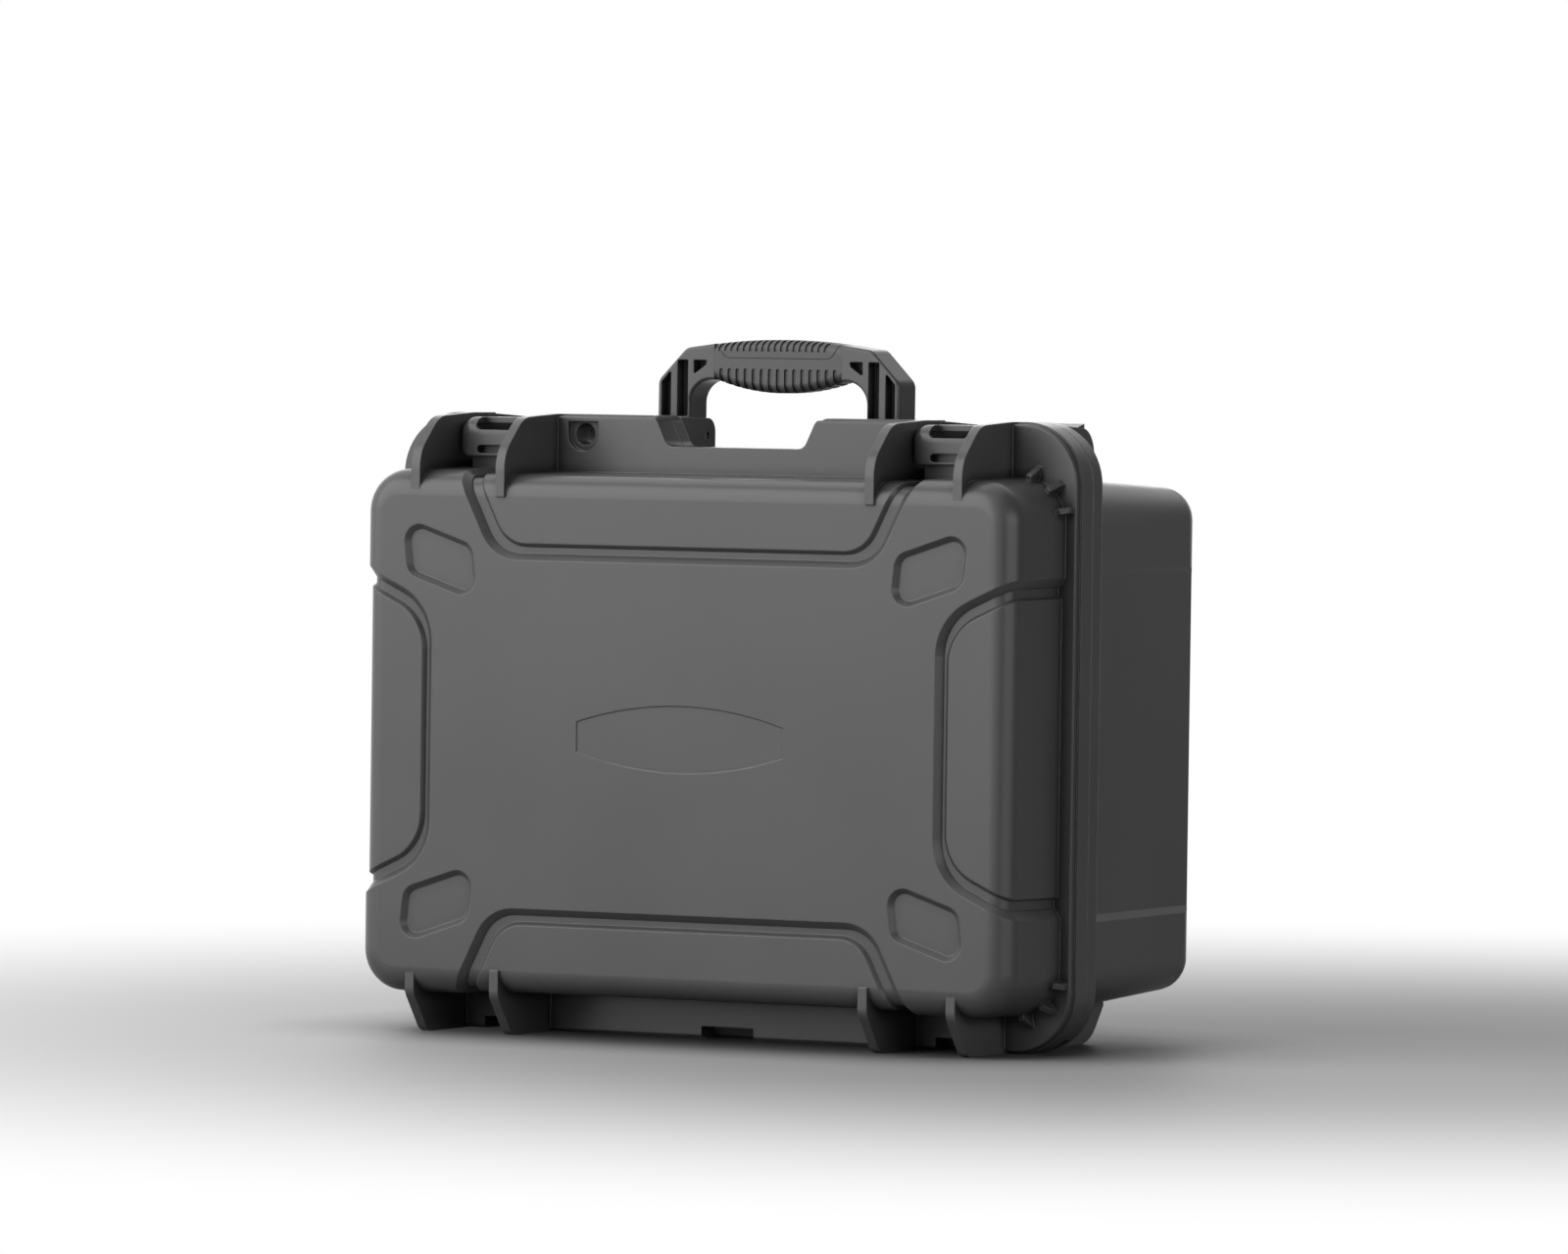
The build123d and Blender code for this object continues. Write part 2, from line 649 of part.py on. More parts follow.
def base_outer():
    """Base body with its side recesses, rim, ribs, ears and the valve's boss."""
    body = base_form()
    for recess in side_recesses():
        body -= recess
    rim = plate(rim_outline(), BASE_RIM_DEPTH, 0, z=RIM_TOP_Z / 2)
    for cut in rim_top_cuts(-PAST, BASE_RIM_DEPTH + PAST):
        rim -= cut
    body += rim
    for x in rib_places():
        for outline in base_rib_outline():
            body += web(outline, x, RIB_THICKNESS)
    for part in mirrored(ear()):
        body += part
    boss = extrude(Plane.XY.offset(VALVE_SEAT_Z - RIB_ROOT) * Circle(VALVE_R + VALVE_BOSS), RIB_ROOT)
    return body + Pos(0, VALVE_Y, 0) * boss


def base_shell():
    """Base moulding."""
    body = base_outer()
    cavity = base_form(WALL)
    for recess in side_recesses(WALL):
        cavity -= recess
    body -= cavity
    body += seal_band(TONGUE_WIDTH, -TONGUE_HEIGHT, PAST / 2)
    body -= padlock_bore(-PAST, BASE_RIM_DEPTH + PAST)
    body -= block(-FAR, FAR, -PAST, HINGE_OPEN_RELIEF, -FAR, HINGE_RELIEF_Z)
    for x, window in hinge_places():
        body = base_hinge(body, x, window)
    latch_reach = BAY_X - RIB_INNER_X + RIB_THICKNESS
    for sx in (1, -1):
        middle = sx * BAY_X
        body -= rod(middle - latch_reach, middle + latch_reach, LATCH_PIVOT_Y, LATCH_PIVOT_Z, LATCH_PIN_R)
    ear_reach = EAR_FACE_X + EAR_THICKNESS + PAST
    body -= rod(-ear_reach, ear_reach, HANDLE_PIVOT_Y, HANDLE_PIVOT_Z, HANDLE_PIN_R)
    below_seat = Plane.XY.offset(VALVE_SEAT_Z - 2 * RIB_ROOT)
    return body - Pos(0, VALVE_Y, 0) * extrude(below_seat * Circle(VALVE_STEM_R + CLEAR), 3 * RIB_ROOT)


def base_hinge(body, x, window):
    """Clear the lid's knuckles and add the base's own knuckle at one hinge."""
    half = window / 2
    for side in (-1, 1):
        near = x + side * half
        far = near + side * (HINGE_KNUCKLE + 2 * HINGE_END_GAP)
        body -= rod(near, far, 0, HINGE_Z, HINGE_BARREL_R + HINGE_SWEEP)
    own = half - HINGE_END_GAP
    body += rod(x - own, x + own, 0, HINGE_Z, HINGE_BARREL_R)
    body += block(x - own, x + own, 0, HINGE_OPEN_RELIEF + PAST,
                  HINGE_Z - HINGE_BARREL_R + PAST, HINGE_Z + HINGE_BARREL_R)
    return body - rod(x - own - PAST, x + own + PAST, 0, HINGE_Z, HINGE_PIN_R)


def hinge_pin(x, window):
    """Steel pin through one hinge."""
    reach = window / 2 + HINGE_END_GAP + HINGE_KNUCKLE
    return rod(x - reach, x + reach, 0, HINGE_Z, HINGE_PIN_R)


# Seal and foam

def lid_seal():
    """Round rubber cord in the lid's channel."""
    path = (facing(-TONGUE_HEIGHT - CLEAR - SEAL_R) * seal_outline()).wires()[0]
    start = path @ 0
    return sweep(Plane(origin=start, z_dir=path % 0) * Circle(SEAL_R), path)


def lid_foam():
    """Foam pad in the lid."""
    floor = GROOVE_DEPTH + WALL - LID_DEPTH
    pad = lid_form(GROOVE_DEPTH + WALL + FOAM_GAP)
    return pad & block(-FAR, FAR, floor - WALL, floor + FOAM_LID, -FAR, FAR)


def base_foam():
    """Foam pad against the back of the base."""
    floor = BASE_DEPTH - WALL
    pad = Pos(0, SIDE_RECESS + FOAM_GAP - CLEAR, 0) * base_form(SIDE_RECESS + WALL + FOAM_GAP)
    return pad & block(-FAR, FAR, floor - FOAM_BASE, floor + WALL, -FAR, FAR)


def claw_form():
    """Solid outer form of the claw: an arm to its pivot and a hood with a rounded brow."""
    hood_end = CLAW_FRONT_Y + CLAW_SHELL_LENGTH
    arm_low = CLAW_PIVOT_Z - CLAW_ARM_DROP
    side = polygon((CLAW_PIVOT_Y, CLAW_PIVOT_Z + CLAW_BARREL_R), (hood_end, CLAW_TOP_Z),
                   (CLAW_FRONT_Y, CLAW_TOP_Z), (CLAW_FRONT_Y, CLAW_BOTTOM_Z),
                   (CLAW_FRONT_Y + CLAW_SHELL_TOE, CLAW_BOTTOM_Z),
                   (CLAW_FRONT_Y + CLAW_ARM_START, arm_low), (CLAW_PIVOT_Y - CLAW_BARREL_R, arm_low),
                   (CLAW_PIVOT_Y, CLAW_PIVOT_Z - CLAW_BARREL_R))
    side = round_corners(side, CLAW_BROW_R, lambda u, v: u < CLAW_FRONT_Y + PAST and v > CLAW_PIVOT_Z)
    side = round_corners(side, PAST, lambda u, v: u < CLAW_FRONT_Y + PAST and v < CLAW_BOTTOM_Z + PAST)
    form = web(side, 0, 2 * LATCH_HALF)
    corners = form.edges().filter_by(Axis.Z).group_by(Axis.Y)[0]
    return fillet(corners, CLAW_CORNER_R)


# Latches, drawn about the middle of a bay

def claw():
    """Hook that spans the bay: two arms, a hood, a front band with a slot, and a window in its brow."""
    hood_end = CLAW_FRONT_Y + CLAW_SHELL_LENGTH
    inner = LATCH_HALF - CLAW_WALL
    low = CLAW_BOTTOM_Z - PAST
    hook = claw_form()
    hook -= block(-inner, inner, CLAW_FRONT_Y + CLAW_FACE, hood_end, low, CLAW_TOP_Z - CLAW_ROOF)
    hook -= block(-inner, inner, hood_end - PAST, FAR, low, FAR)
    for sx in (-1, 1):
        hook += rod(sx * inner, sx * LATCH_HALF, CLAW_PIVOT_Y, CLAW_PIVOT_Z, CLAW_BARREL_R)
    brow = 2 * (CLAW_TOP_Z - CLAW_WINDOW_Z)
    window = Pos(0, CLAW_WINDOW_Z + brow / 2) * RectangleRounded(CLAW_WINDOW_WIDTH, brow, CLAW_WINDOW_R)
    hook -= plate(window, CLAW_FRONT_Y + CLAW_WINDOW_DEPTH, CLAW_FRONT_Y - PAST, z=0)
    slot = RectangleRounded(CLAW_SLOT_WIDTH, CLAW_SLOT_HEIGHT, CLAW_SLOT_R)
    slot = Pos(0, CLAW_BOTTOM_Z + CLAW_SLOT_RISE) * slot
    hook -= plate(slot, CLAW_FRONT_Y + 2 * CLAW_FACE, CLAW_FRONT_Y - PAST, z=0)
    return hook - rod(-2 * inner, 2 * inner, CLAW_PIVOT_Y, CLAW_PIVOT_Z, CLAW_PIN_R + RUNNING)


def lever_outline():
    """Side view of the lever, from its barrel back to its turned-up tip."""
    return polygon((LATCH_PIVOT_Y - LEVER_STEP, LATCH_PIVOT_Z),
                   (LATCH_PIVOT_Y - LEVER_STEP / 2, LATCH_PIVOT_Z + LEVER_NECK),
                   (CLAW_PIVOT_Y - LEVER_STEP, CLAW_PIVOT_Z + LEVER_NECK),
                   (CLAW_PIVOT_Y + LEVER_STEP / 2, LEVER_TOP_Z),
                   (LEVER_END_Y - LEVER_TIP, LEVER_TOP_Z),
                   (LEVER_END_Y, LEVER_TOP_Z + LEVER_TIP_RISE),
                   (LEVER_END_Y, LEVER_TOP_Z - LEVER_TIP_DROP),
                   (LEVER_END_Y - LEVER_SKIRT_FADE, LEVER_SKIRT_Z + LEVER_SKIRT_RISE),
                   (LEVER_END_Y - 2 * LEVER_SKIRT_FADE, LEVER_SKIRT_Z),
                   (CLAW_PIVOT_Y + LEVER_SKIRT_RISE, LEVER_SKIRT_Z),
                   (LATCH_PIVOT_Y, LATCH_PIVOT_Z - LEVER_NECK))


def lever():
    """Lever that lies back over the base: barrel, plate, side skirts and a turned-up tip."""
    half = LATCH_HALF - CLAW_WALL - 2 * CLEAR
    tail, tip = LEVER_END_Y - 3 * LEVER_SKIRT_FADE, LEVER_END_Y - LEVER_TIP / 2
    side = round_corners(lever_outline(), LEVER_SIDE, lambda u, v: tail < u < tip)
    body = web(side, 0, 2 * half)
    inner = half - LEVER_SIDE
    hollow_from = CLAW_PIVOT_Y + LEVER_SKIRT_RISE + LEVER_SIDE
    hollow_to = LEVER_END_Y - LEVER_SKIRT_FADE - LEVER_SIDE
    body -= block(-inner, inner, hollow_from, hollow_to, LEVER_SKIRT_Z - PAST, LEVER_TOP_Z - LEVER_PLATE)
    body += rod(-half, half, LATCH_PIVOT_Y, LATCH_PIVOT_Z, LATCH_BARREL_R)
    reach = half + PAST
    body -= rod(-reach, reach, LATCH_PIVOT_Y, LATCH_PIVOT_Z, LATCH_PIN_R + RUNNING)
    return body - rod(-reach, reach, CLAW_PIVOT_Y, CLAW_PIVOT_Z, CLAW_PIN_R)


def latch_pin():
    """Pin of the lever through both base ribs."""
    reach = BAY_X - RIB_INNER_X + RIB_THICKNESS / 2
    return rod(-reach, reach, LATCH_PIVOT_Y, LATCH_PIVOT_Z, LATCH_PIN_R)


def claw_pin():
    """Pin that joins the claw to the lever."""
    return rod(-LATCH_HALF, LATCH_HALF, CLAW_PIVOT_Y, CLAW_PIVOT_Z, CLAW_PIN_R)


# Handle

def handle_outline():
    """Front view of the handle frame from its feet to its bar, in X and Z."""
    low = HANDLE_PIVOT_Z
    inner = HANDLE_HALF - HANDLE_LEG
    top_x = HANDLE_HALF - HANDLE_SHOULDER
    shoulder_z = HANDLE_TOP_Z - HANDLE_SLOPE
    knee_z = shoulder_z - HANDLE_SHOULDER - PAST / 2
    outer = polygon((-HANDLE_HALF, low), (HANDLE_HALF, low), (HANDLE_HALF, knee_z), (top_x, shoulder_z),
                    (GRIP_HALF, HANDLE_TOP_Z), (-GRIP_HALF, HANDLE_TOP_Z), (-top_x, shoulder_z),
                    (-HANDLE_HALF, knee_z))
    outer = round_corners(outer, HANDLE_SHOULDER_R, lambda u, v: abs(u) > GRIP_HALF + PAST and v > low + PAST)
    hole = polygon((-inner, low - PAST), (inner, low - PAST), (inner, HANDLE_BAR_Z), (-inner, HANDLE_BAR_Z))
    hole = round_corners(hole, HANDLE_INNER_R, lambda u, v: v > low)
    return outer - hole


def pocket_outlines():
    """Front views of the three pockets of the right leg, from its outer face inwards."""
    floor = HANDLE_PIVOT_Z + HANDLE_DEPTH / 2
    ceiling = HANDLE_TOP_Z - POCKET_TOP
    x0, x1 = (HANDLE_HALF - inset for inset in OUTER_POCKET)
    outer = polygon((x1, floor), (x0, floor), (x0, ceiling - OUTER_POCKET_DROP[1]),
                    (x1, ceiling - OUTER_POCKET_DROP[0]))
    x0, x1 = (HANDLE_HALF - inset for inset in INNER_POCKET)
    inner = polygon((x1, floor), (x0, floor), (x0, ceiling), (x1, ceiling))
    x0, x1 = (HANDLE_HALF - inset for inset in CORNER_POCKET)
    corner = polygon((x0, ceiling), (x1, ceiling), (x1 + POCKET_R, ceiling - CORNER_POCKET_DROP[0]),
                     (x0, ceiling - CORNER_POCKET_DROP[1]))
    return [outer, inner, corner]


def handle_pockets():
    """Cored pockets in one leg, on the front and the back face."""
    front = HANDLE_PIVOT_Y - HANDLE_DEPTH / 2
    back = HANDLE_PIVOT_Y + HANDLE_DEPTH / 2
    pockets = []
    for outline in pocket_outlines():
        outline = round_corners(outline, POCKET_R, lambda u, v: True)
        pockets.append(plate(outline, front + POCKET_DEPTH, front - PAST, z=0))
        pockets.append(plate(outline, back + PAST, back - POCKET_DEPTH, z=0))
    return pockets


def grip_core():
    """Slim bar of the frame inside the grip."""
    return block(-GRIP_HALF, GRIP_HALF, HANDLE_PIVOT_Y - GRIP_CORE, HANDLE_PIVOT_Y + GRIP_CORE,
                 HANDLE_BAR_Z + GRIP_CORE_FLOOR, HANDLE_TOP_Z - GRIP_CORE_ROOF)


def handle_frame():
    """Moulded arch with round feet, cored legs and a slimmer bar inside the grip."""
    half = HANDLE_DEPTH / 2
    front = HANDLE_PIVOT_Y - half
    back = HANDLE_PIVOT_Y + half
    frame = plate(handle_outline(), back, front, z=0)
    middles = [(e, e.position_at(0.5)) for e in frame.edges()]
    flat = [(e, m) for e, m in middles if abs(abs(m.Y - HANDLE_PIVOT_Y) - half) < TOUCH]
    frame = fillet([e for e, m in flat if m.Z > HANDLE_PIVOT_Z + CLEAR], HANDLE_ROUND)
    inner = HANDLE_HALF - HANDLE_LEG
    for sx in (-1, 1):
        frame += rod(sx * inner, sx * HANDLE_HALF, HANDLE_PIVOT_Y, HANDLE_PIVOT_Z, half)
    for pocket in handle_pockets():
        for twin in mirrored(pocket):
            frame -= twin
    frame -= block(-GRIP_HALF, GRIP_HALF, front - PAST, back + PAST,
                   HANDLE_BAR_Z - PAST, HANDLE_TOP_Z + PAST)
    frame += grip_core()
    reach = EAR_FACE_X + PIN_SINK + HANDLE_PIN_LENGTH + CLEAR
    bore = HANDLE_PIN_R + RUNNING
    for sx in (-1, 1):
        frame -= rod(sx * (inner - PAST), sx * reach, HANDLE_PIVOT_Y, HANDLE_PIVOT_Z, bore)
    return frame


def grip_form(inset=0.0):
    """Grip with a low belly for the fingers and a gentle crown, all but its ends moved in by inset."""
    low = HANDLE_BAR_Z + inset
    high = HANDLE_TOP_Z - inset
    edges = [
        Line((-GRIP_HALF, low), (-GRIP_HALF, high)),
        ThreePointArc((-GRIP_HALF, high), (0, high + GRIP_CROWN), (GRIP_HALF, high)),
        Line((GRIP_HALF, high), (GRIP_HALF, low)),
        ThreePointArc((GRIP_HALF, low), (0, low - GRIP_BELLY), (-GRIP_HALF, low)),
    ]
    half = HANDLE_DEPTH / 2 - inset
    form = plate(make_face(edges), HANDLE_PIVOT_Y + half, HANDLE_PIVOT_Y - half, z=0)
    middles = [(e, e.position_at(0.5)) for e in form.edges()]
    along = [e for e, middle in middles if abs(middle.X) < PAST and abs(middle.Y - HANDLE_PIVOT_Y) > PAST]
    return fillet(along, GRIP_ROUND - inset)


def grip_slots():
    """Slots in both faces of the grip that run on under its belly."""
    height = 2 * (GRIP_BELLY + SLOT_TOP)
    slot = RectangleRounded(SLOT_WIDTH, height, SLOT_WIDTH / 2 - RUNNING)
    row = Sketch() + GridLocations(SLOT_PITCH, 1, SLOT_COUNT, 1) * slot
    row = Pos(0, HANDLE_BAR_Z + SLOT_TOP - height / 2) * row
    half = HANDLE_DEPTH / 2 + PAST
    return plate(row, HANDLE_PIVOT_Y + half, HANDLE_PIVOT_Y - half, z=0) - grip_form(SLOT_DEPTH)


def crown_grooves():
    """Slanting grooves over the crown of the grip."""
    groove = Rot(0, 0, -CROWN_ANGLE) * Rectangle(CROWN_WIDTH, 2 * HANDLE_DEPTH)
    row = Sketch() + GridLocations(CROWN_PITCH, 1, CROWN_COUNT, 1) * groove
    start = Plane(origin=(0, HANDLE_PIVOT_Y, HANDLE_TOP_Z - CROWN_BAND), z_dir=(0, 0, 1))
    return extrude(start * row, CROWN_BAND + GRIP_CROWN + PAST) - grip_form(CROWN_DEPTH)


def grip_seam():
    """Fine line round the insert that makes the crown of the grip."""
    low = HANDLE_TOP_Z - SEAM_DROP
    high = HANDLE_TOP_Z + GRIP_CROWN + PAST
    top = SEAM_HALF + SEAM_LEAN
    face = polygon((-top, high), (-SEAM_HALF, low), (SEAM_HALF, low), (top, high))
    face = round_corners(face, SEAM_R, lambda u, v: v < low + PAST)
    line = offset(face, SEAM_WIDTH) - face
    half = HANDLE_DEPTH / 2 + PAST
    return plate(line, HANDLE_PIVOT_Y + half, HANDLE_PIVOT_Y - half, z=0) - grip_form(SEAM_DEPTH)


def handle_grip():
    """Soft overmould round the bar."""
    return grip_form() - grip_slots() - crown_grooves() - grip_seam() - grip_core()


def handle_pin(sx):
    """Pin from an ear into a leg."""
    near = sx * (EAR_FACE_X + PIN_SINK)
    return rod(near, near + sx * HANDLE_PIN_LENGTH, HANDLE_PIVOT_Y, HANDLE_PIVOT_Z, HANDLE_PIN_R)


# Pressure valve

def valve_washer():
    """Flat ring under the valve's flange."""
    ring = Circle(VALVE_R) - Circle(VALVE_STEM_R + CLEAR)
    return Pos(0, VALVE_Y, 0) * extrude(Plane.XY.offset(VALVE_SEAT_Z) * ring, WASHER)


def valve_body():
    """Flange and stem of the valve."""
    base_z = VALVE_SEAT_Z + WASHER
    flange = extrude(Plane.XY.offset(base_z) * Circle(VALVE_R), VALVE_FLANGE)
    stem = extrude(Plane.XY.offset(base_z - VALVE_STEM_LENGTH) * Circle(VALVE_STEM_R), VALVE_STEM_LENGTH)
    return Pos(0, VALVE_Y, 0) * (flange + stem)


def valve_knob():
    """Knob with scallops for the fingers round its edge."""
    base_z = VALVE_SEAT_Z + WASHER + VALVE_FLANGE + VALVE_KNOB_GAP
    knob = extrude(Plane.XY.offset(base_z) * Circle(VALVE_KNOB_R), VALVE_KNOB_HEIGHT)
    knob = chamfer(knob.edges().group_by(Axis.Z)[-1], VALVE_KNOB_BEVEL)
    scallop = extrude(Plane.XY.offset(base_z - PAST) * Circle(VALVE_SCALLOP_R), VALVE_KNOB_HEIGHT + 2 * PAST)
    for place in PolarLocations(VALVE_KNOB_R + VALVE_SCALLOP_R / 2, VALVE_SCALLOPS):
        knob -= place * scallop
    return Pos(0, VALVE_Y, 0) * knob


def latch_parts():
    """The four pieces of a latch, drawn about the middle of its bay."""
    return {"claw": claw(), "lever": lever(), "lever_pin": latch_pin(), "claw_pin": claw_pin()}


def parts():
    """Every sub-part by name, in the drawn position."""
    made = {
        "lid_shell": lid_shell(), "lid_seal": lid_seal(), "lid_foam": lid_foam(),
        "base_shell": base_shell(), "base_foam": base_foam(),
        "handle_frame": handle_frame(), "handle_grip": handle_grip(),
        "valve_washer": valve_washer(), "valve_body": valve_body(), "valve_knob": valve_knob(),
    }
    for name, (x, window) in zip(("left", "middle", "right"), hinge_places()):
        made["hinge_pin_" + name] = hinge_pin(x, window)
    for name, sx in (("left", -1), ("right", 1)):
        made["handle_pin_" + name] = handle_pin(sx)
        for kind, shape in latch_parts().items():
            made["latch_" + kind + "_" + name] = Pos(sx * BAY_X, 0, 0) * shape
    return made


def main():
    os.makedirs("parts", exist_ok=True)
    for name, shape in parts().items():
        export_step(Pos(0, CENTRE_Y, 0) * shape, "parts/" + name + ".step")
        print(name, round(shape.volume / 1000, 1), "cm3", len(shape.faces()), "faces")


main()
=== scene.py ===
# %% [markdown]
# # A hard protective case, standing on its hinge side
# The case is a moulded lid and base with a wide rim, two latches and a folding handle.
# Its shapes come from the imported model, so this lesson is about the finishes, the foam
# inside, and the light. We start by loading the model, which must not be moved.

# %% Load the model
import bpy
import bmesh
import math
from mathutils import Matrix, Vector


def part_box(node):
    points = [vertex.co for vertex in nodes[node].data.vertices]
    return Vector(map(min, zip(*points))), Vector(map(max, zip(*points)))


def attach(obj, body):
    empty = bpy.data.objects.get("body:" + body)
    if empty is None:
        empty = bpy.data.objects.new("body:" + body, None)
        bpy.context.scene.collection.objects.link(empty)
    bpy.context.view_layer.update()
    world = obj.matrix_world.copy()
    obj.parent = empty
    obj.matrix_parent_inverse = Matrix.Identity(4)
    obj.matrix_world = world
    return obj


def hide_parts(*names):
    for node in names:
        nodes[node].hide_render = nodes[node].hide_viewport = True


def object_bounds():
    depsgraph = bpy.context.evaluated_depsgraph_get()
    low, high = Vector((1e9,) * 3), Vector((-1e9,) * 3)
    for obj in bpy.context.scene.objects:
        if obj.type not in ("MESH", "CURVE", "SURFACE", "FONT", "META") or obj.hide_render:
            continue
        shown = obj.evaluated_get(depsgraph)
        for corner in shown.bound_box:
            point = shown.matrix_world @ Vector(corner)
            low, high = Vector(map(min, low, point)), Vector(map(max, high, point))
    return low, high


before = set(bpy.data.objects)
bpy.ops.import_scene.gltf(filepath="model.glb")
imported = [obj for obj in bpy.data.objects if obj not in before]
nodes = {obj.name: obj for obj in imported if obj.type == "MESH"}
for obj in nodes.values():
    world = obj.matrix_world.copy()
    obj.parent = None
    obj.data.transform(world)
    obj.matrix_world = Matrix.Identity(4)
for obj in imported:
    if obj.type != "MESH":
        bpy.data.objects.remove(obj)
cad_low, cad_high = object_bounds()
print("pieces:", len(nodes))

# %% [markdown]
# ## Measure before dressing
# The looks may not make the case bigger. We keep the box of the bare model, and print
# its size.

# %% Size of the bare model
size_mm = [round(1000 * (h - l), 1) for l, h in zip(cad_low, cad_high)]
print("bare model, mm:", size_mm)


# %% [markdown]
# ## A clean start for each new piece
# Blender's operators act on whatever is selected, and the loaded model is selected.
# So each new piece begins with nothing selected, and ends with its place in its mesh.

# %% Helpers for new pieces
def deselect():
    bpy.ops.object.select_all(action="DESELECT")


def newest(name):
    piece = bpy.context.object
    piece.name = name
    return piece


def settle(piece):
    """Put the piece's place, turn and scale into its mesh."""
    deselect()
    piece.select_set(True)
    bpy.context.view_layer.objects.active = piece
    bpy.ops.object.transform_apply(location=True, rotation=True, scale=True)
    print(piece.name, len(piece.data.polygons), "faces")
    return piece


def pick_faces(piece, wanted):
    """Select the faces whose centre and normal are wanted, in edit mode."""
    bpy.ops.object.mode_set(mode="EDIT")
    bpy.ops.mesh.select_mode(type="FACE")
    mesh = bmesh.from_edit_mesh(piece.data)
    for face in mesh.faces:
        face.select_set(bool(wanted(face.calc_center_median(), face.normal)))
    mesh.select_flush_mode()
    bmesh.update_edit_mesh(piece.data)


# %% [markdown]
# ## Moulded plastic, part one: the grain
# The case is injection moulded in a dark grey plastic. The steel mould is lightly
# blasted, which leaves a fine even grain. Large flat areas also vary a little in gloss
# where the plastic flowed and cooled. Both belong to every moulded piece, so they are
# made once, as a group of nodes with named inputs and outputs.

# %% Group: moulded grain
def group_socket(group, name, kind, way, value=None):
    socket = group.interface.new_socket(name=name, in_out=way, socket_type=kind)
    if value is not None:
        socket.default_value = value


def new_node(tree, kind, x, y, **settings):
    node = tree.nodes.new(kind)
    node.location = (x, y)
    for key, value in settings.items():
        setattr(node, key, value)
    return node


def noise(tree, x, y, scale, detail, roughness):
    node = new_node(tree, "ShaderNodeTexNoise", x, y)
    node.inputs["Scale"].default_value = scale
    node.inputs["Detail"].default_value = detail
    node.inputs["Roughness"].default_value = roughness
    return node


def new_material(name):
    """A new material, its nodes, and the shader that every material starts with."""
    made = bpy.data.materials.new(name)
    made.use_nodes = True
    return made, made.node_tree, made.node_tree.nodes["Principled BSDF"]


def ranged(tree, x, y, source, low, high):
    """Map the middle of a noise to a range of values, with soft ends."""
    node = new_node(tree, "ShaderNodeMapRange", x, y, interpolation_type="SMOOTHSTEP")
    node.inputs["From Min"].default_value = 0.25
    node.inputs["From Max"].default_value = 0.75
    node.inputs["To Min"].default_value = low
    node.inputs["To Max"].default_value = high
    tree.links.new(source, node.inputs["Value"])
    return node.outputs["Result"]


grain = bpy.data.node_groups.new("moulded grain", "ShaderNodeTree")
group_socket(grain, "Colour", "NodeSocketColor", "INPUT", (0.1, 0.1, 0.1, 1))
group_socket(grain, "Gloss spread", "NodeSocketFloat", "INPUT", 0.05)
group_socket(grain, "Roughness", "NodeSocketFloat", "INPUT", 0.45)
group_socket(grain, "Grain size", "NodeSocketFloat", "INPUT", 1600.0)
group_socket(grain, "Colour", "NodeSocketColor", "OUTPUT")
group_socket(grain, "Roughness", "NodeSocketFloat", "OUTPUT")
group_socket(grain, "Height", "NodeSocketFloat", "OUTPUT")
print("grain group with", len(grain.interface.items_tree), "sockets")

# %% Group: wire the grain
gin = new_node(grain, "NodeGroupInput", -1000, 0)
gout = new_node(grain, "NodeGroupOutput", 600, 0)
place = new_node(grain, "ShaderNodeTexCoord", -1000, -300)
fine = noise(grain, -700, -200, 1600.0, 2.0, 0.5)
flow = noise(grain, -700, 100, 9.0, 3.0, 0.5)
for texture in (fine, flow):
    grain.links.new(place.outputs["Object"], texture.inputs["Vector"])
grain.links.new(gin.outputs["Grain size"], fine.inputs["Scale"])
tone = new_node(grain, "ShaderNodeHueSaturation", 100, 200)
grain.links.new(ranged(grain, -400, 250, flow.outputs["Fac"], 0.94, 1.06), tone.inputs["Value"])
grain.links.new(gin.outputs["Colour"], tone.inputs["Color"])
swing = new_node(grain, "ShaderNodeMath", -100, -50, operation="MULTIPLY")
grain.links.new(ranged(grain, -400, 0, flow.outputs["Fac"], -1.0, 1.0), swing.inputs[0])
grain.links.new(gin.outputs["Gloss spread"], swing.inputs[1])
total = new_node(grain, "ShaderNodeMath", 100, -50, operation="ADD")
grain.links.new(swing.outputs[0], total.inputs[0])
grain.links.new(gin.outputs["Roughness"], total.inputs[1])
grain.links.new(tone.outputs["Color"], gout.inputs["Colour"])
grain.links.new(total.outputs[0], gout.inputs["Roughness"])
grain.links.new(fine.outputs["Fac"], gout.inputs["Height"])
print("grain nodes:", len(grain.nodes))


# %% [markdown]
# ## Handled edges, with a painted highlight
# Hands and tables polish the corners of such a case first, and the grain there loses a
# little of its roughness. The paler colour along the edges is partly that rubbing and partly
# a painted highlight, for the thin bright lines that light draws along edges. The Bevel node
# turns the normal near an edge, so where it differs from the surface's own normal there is
# an edge. Noise breaks the mask up, as rubbing is never even. This is a second group, and
# the plastics, the rubber of the grip and the steel of the pins all use it with their own
# amounts.

# %% Group: edge rubbing with a painted highlight
rubbing_highlight_group = bpy.data.node_groups.new("edge rubbing and painted highlight", "ShaderNodeTree")
group_socket(rubbing_highlight_group, "Bevelled", "NodeSocketVector", "INPUT")
group_socket(rubbing_highlight_group, "Amount", "NodeSocketFloat", "INPUT", 0.5)
group_socket(rubbing_highlight_group, "Colour", "NodeSocketColor", "INPUT", (0.1, 0.1, 0.1, 1))
group_socket(rubbing_highlight_group, "Paler edge colour", "NodeSocketColor", "INPUT", (0.2, 0.2, 0.2, 1))
group_socket(rubbing_highlight_group, "Roughness", "NodeSocketFloat", "INPUT", 0.45)
group_socket(rubbing_highlight_group, "Colour", "NodeSocketColor", "OUTPUT")
group_socket(rubbing_highlight_group, "Roughness", "NodeSocketFloat", "OUTPUT")
print("edge rubbing and painted highlight group with", len(rubbing_highlight_group.interface.items_tree), "sockets")
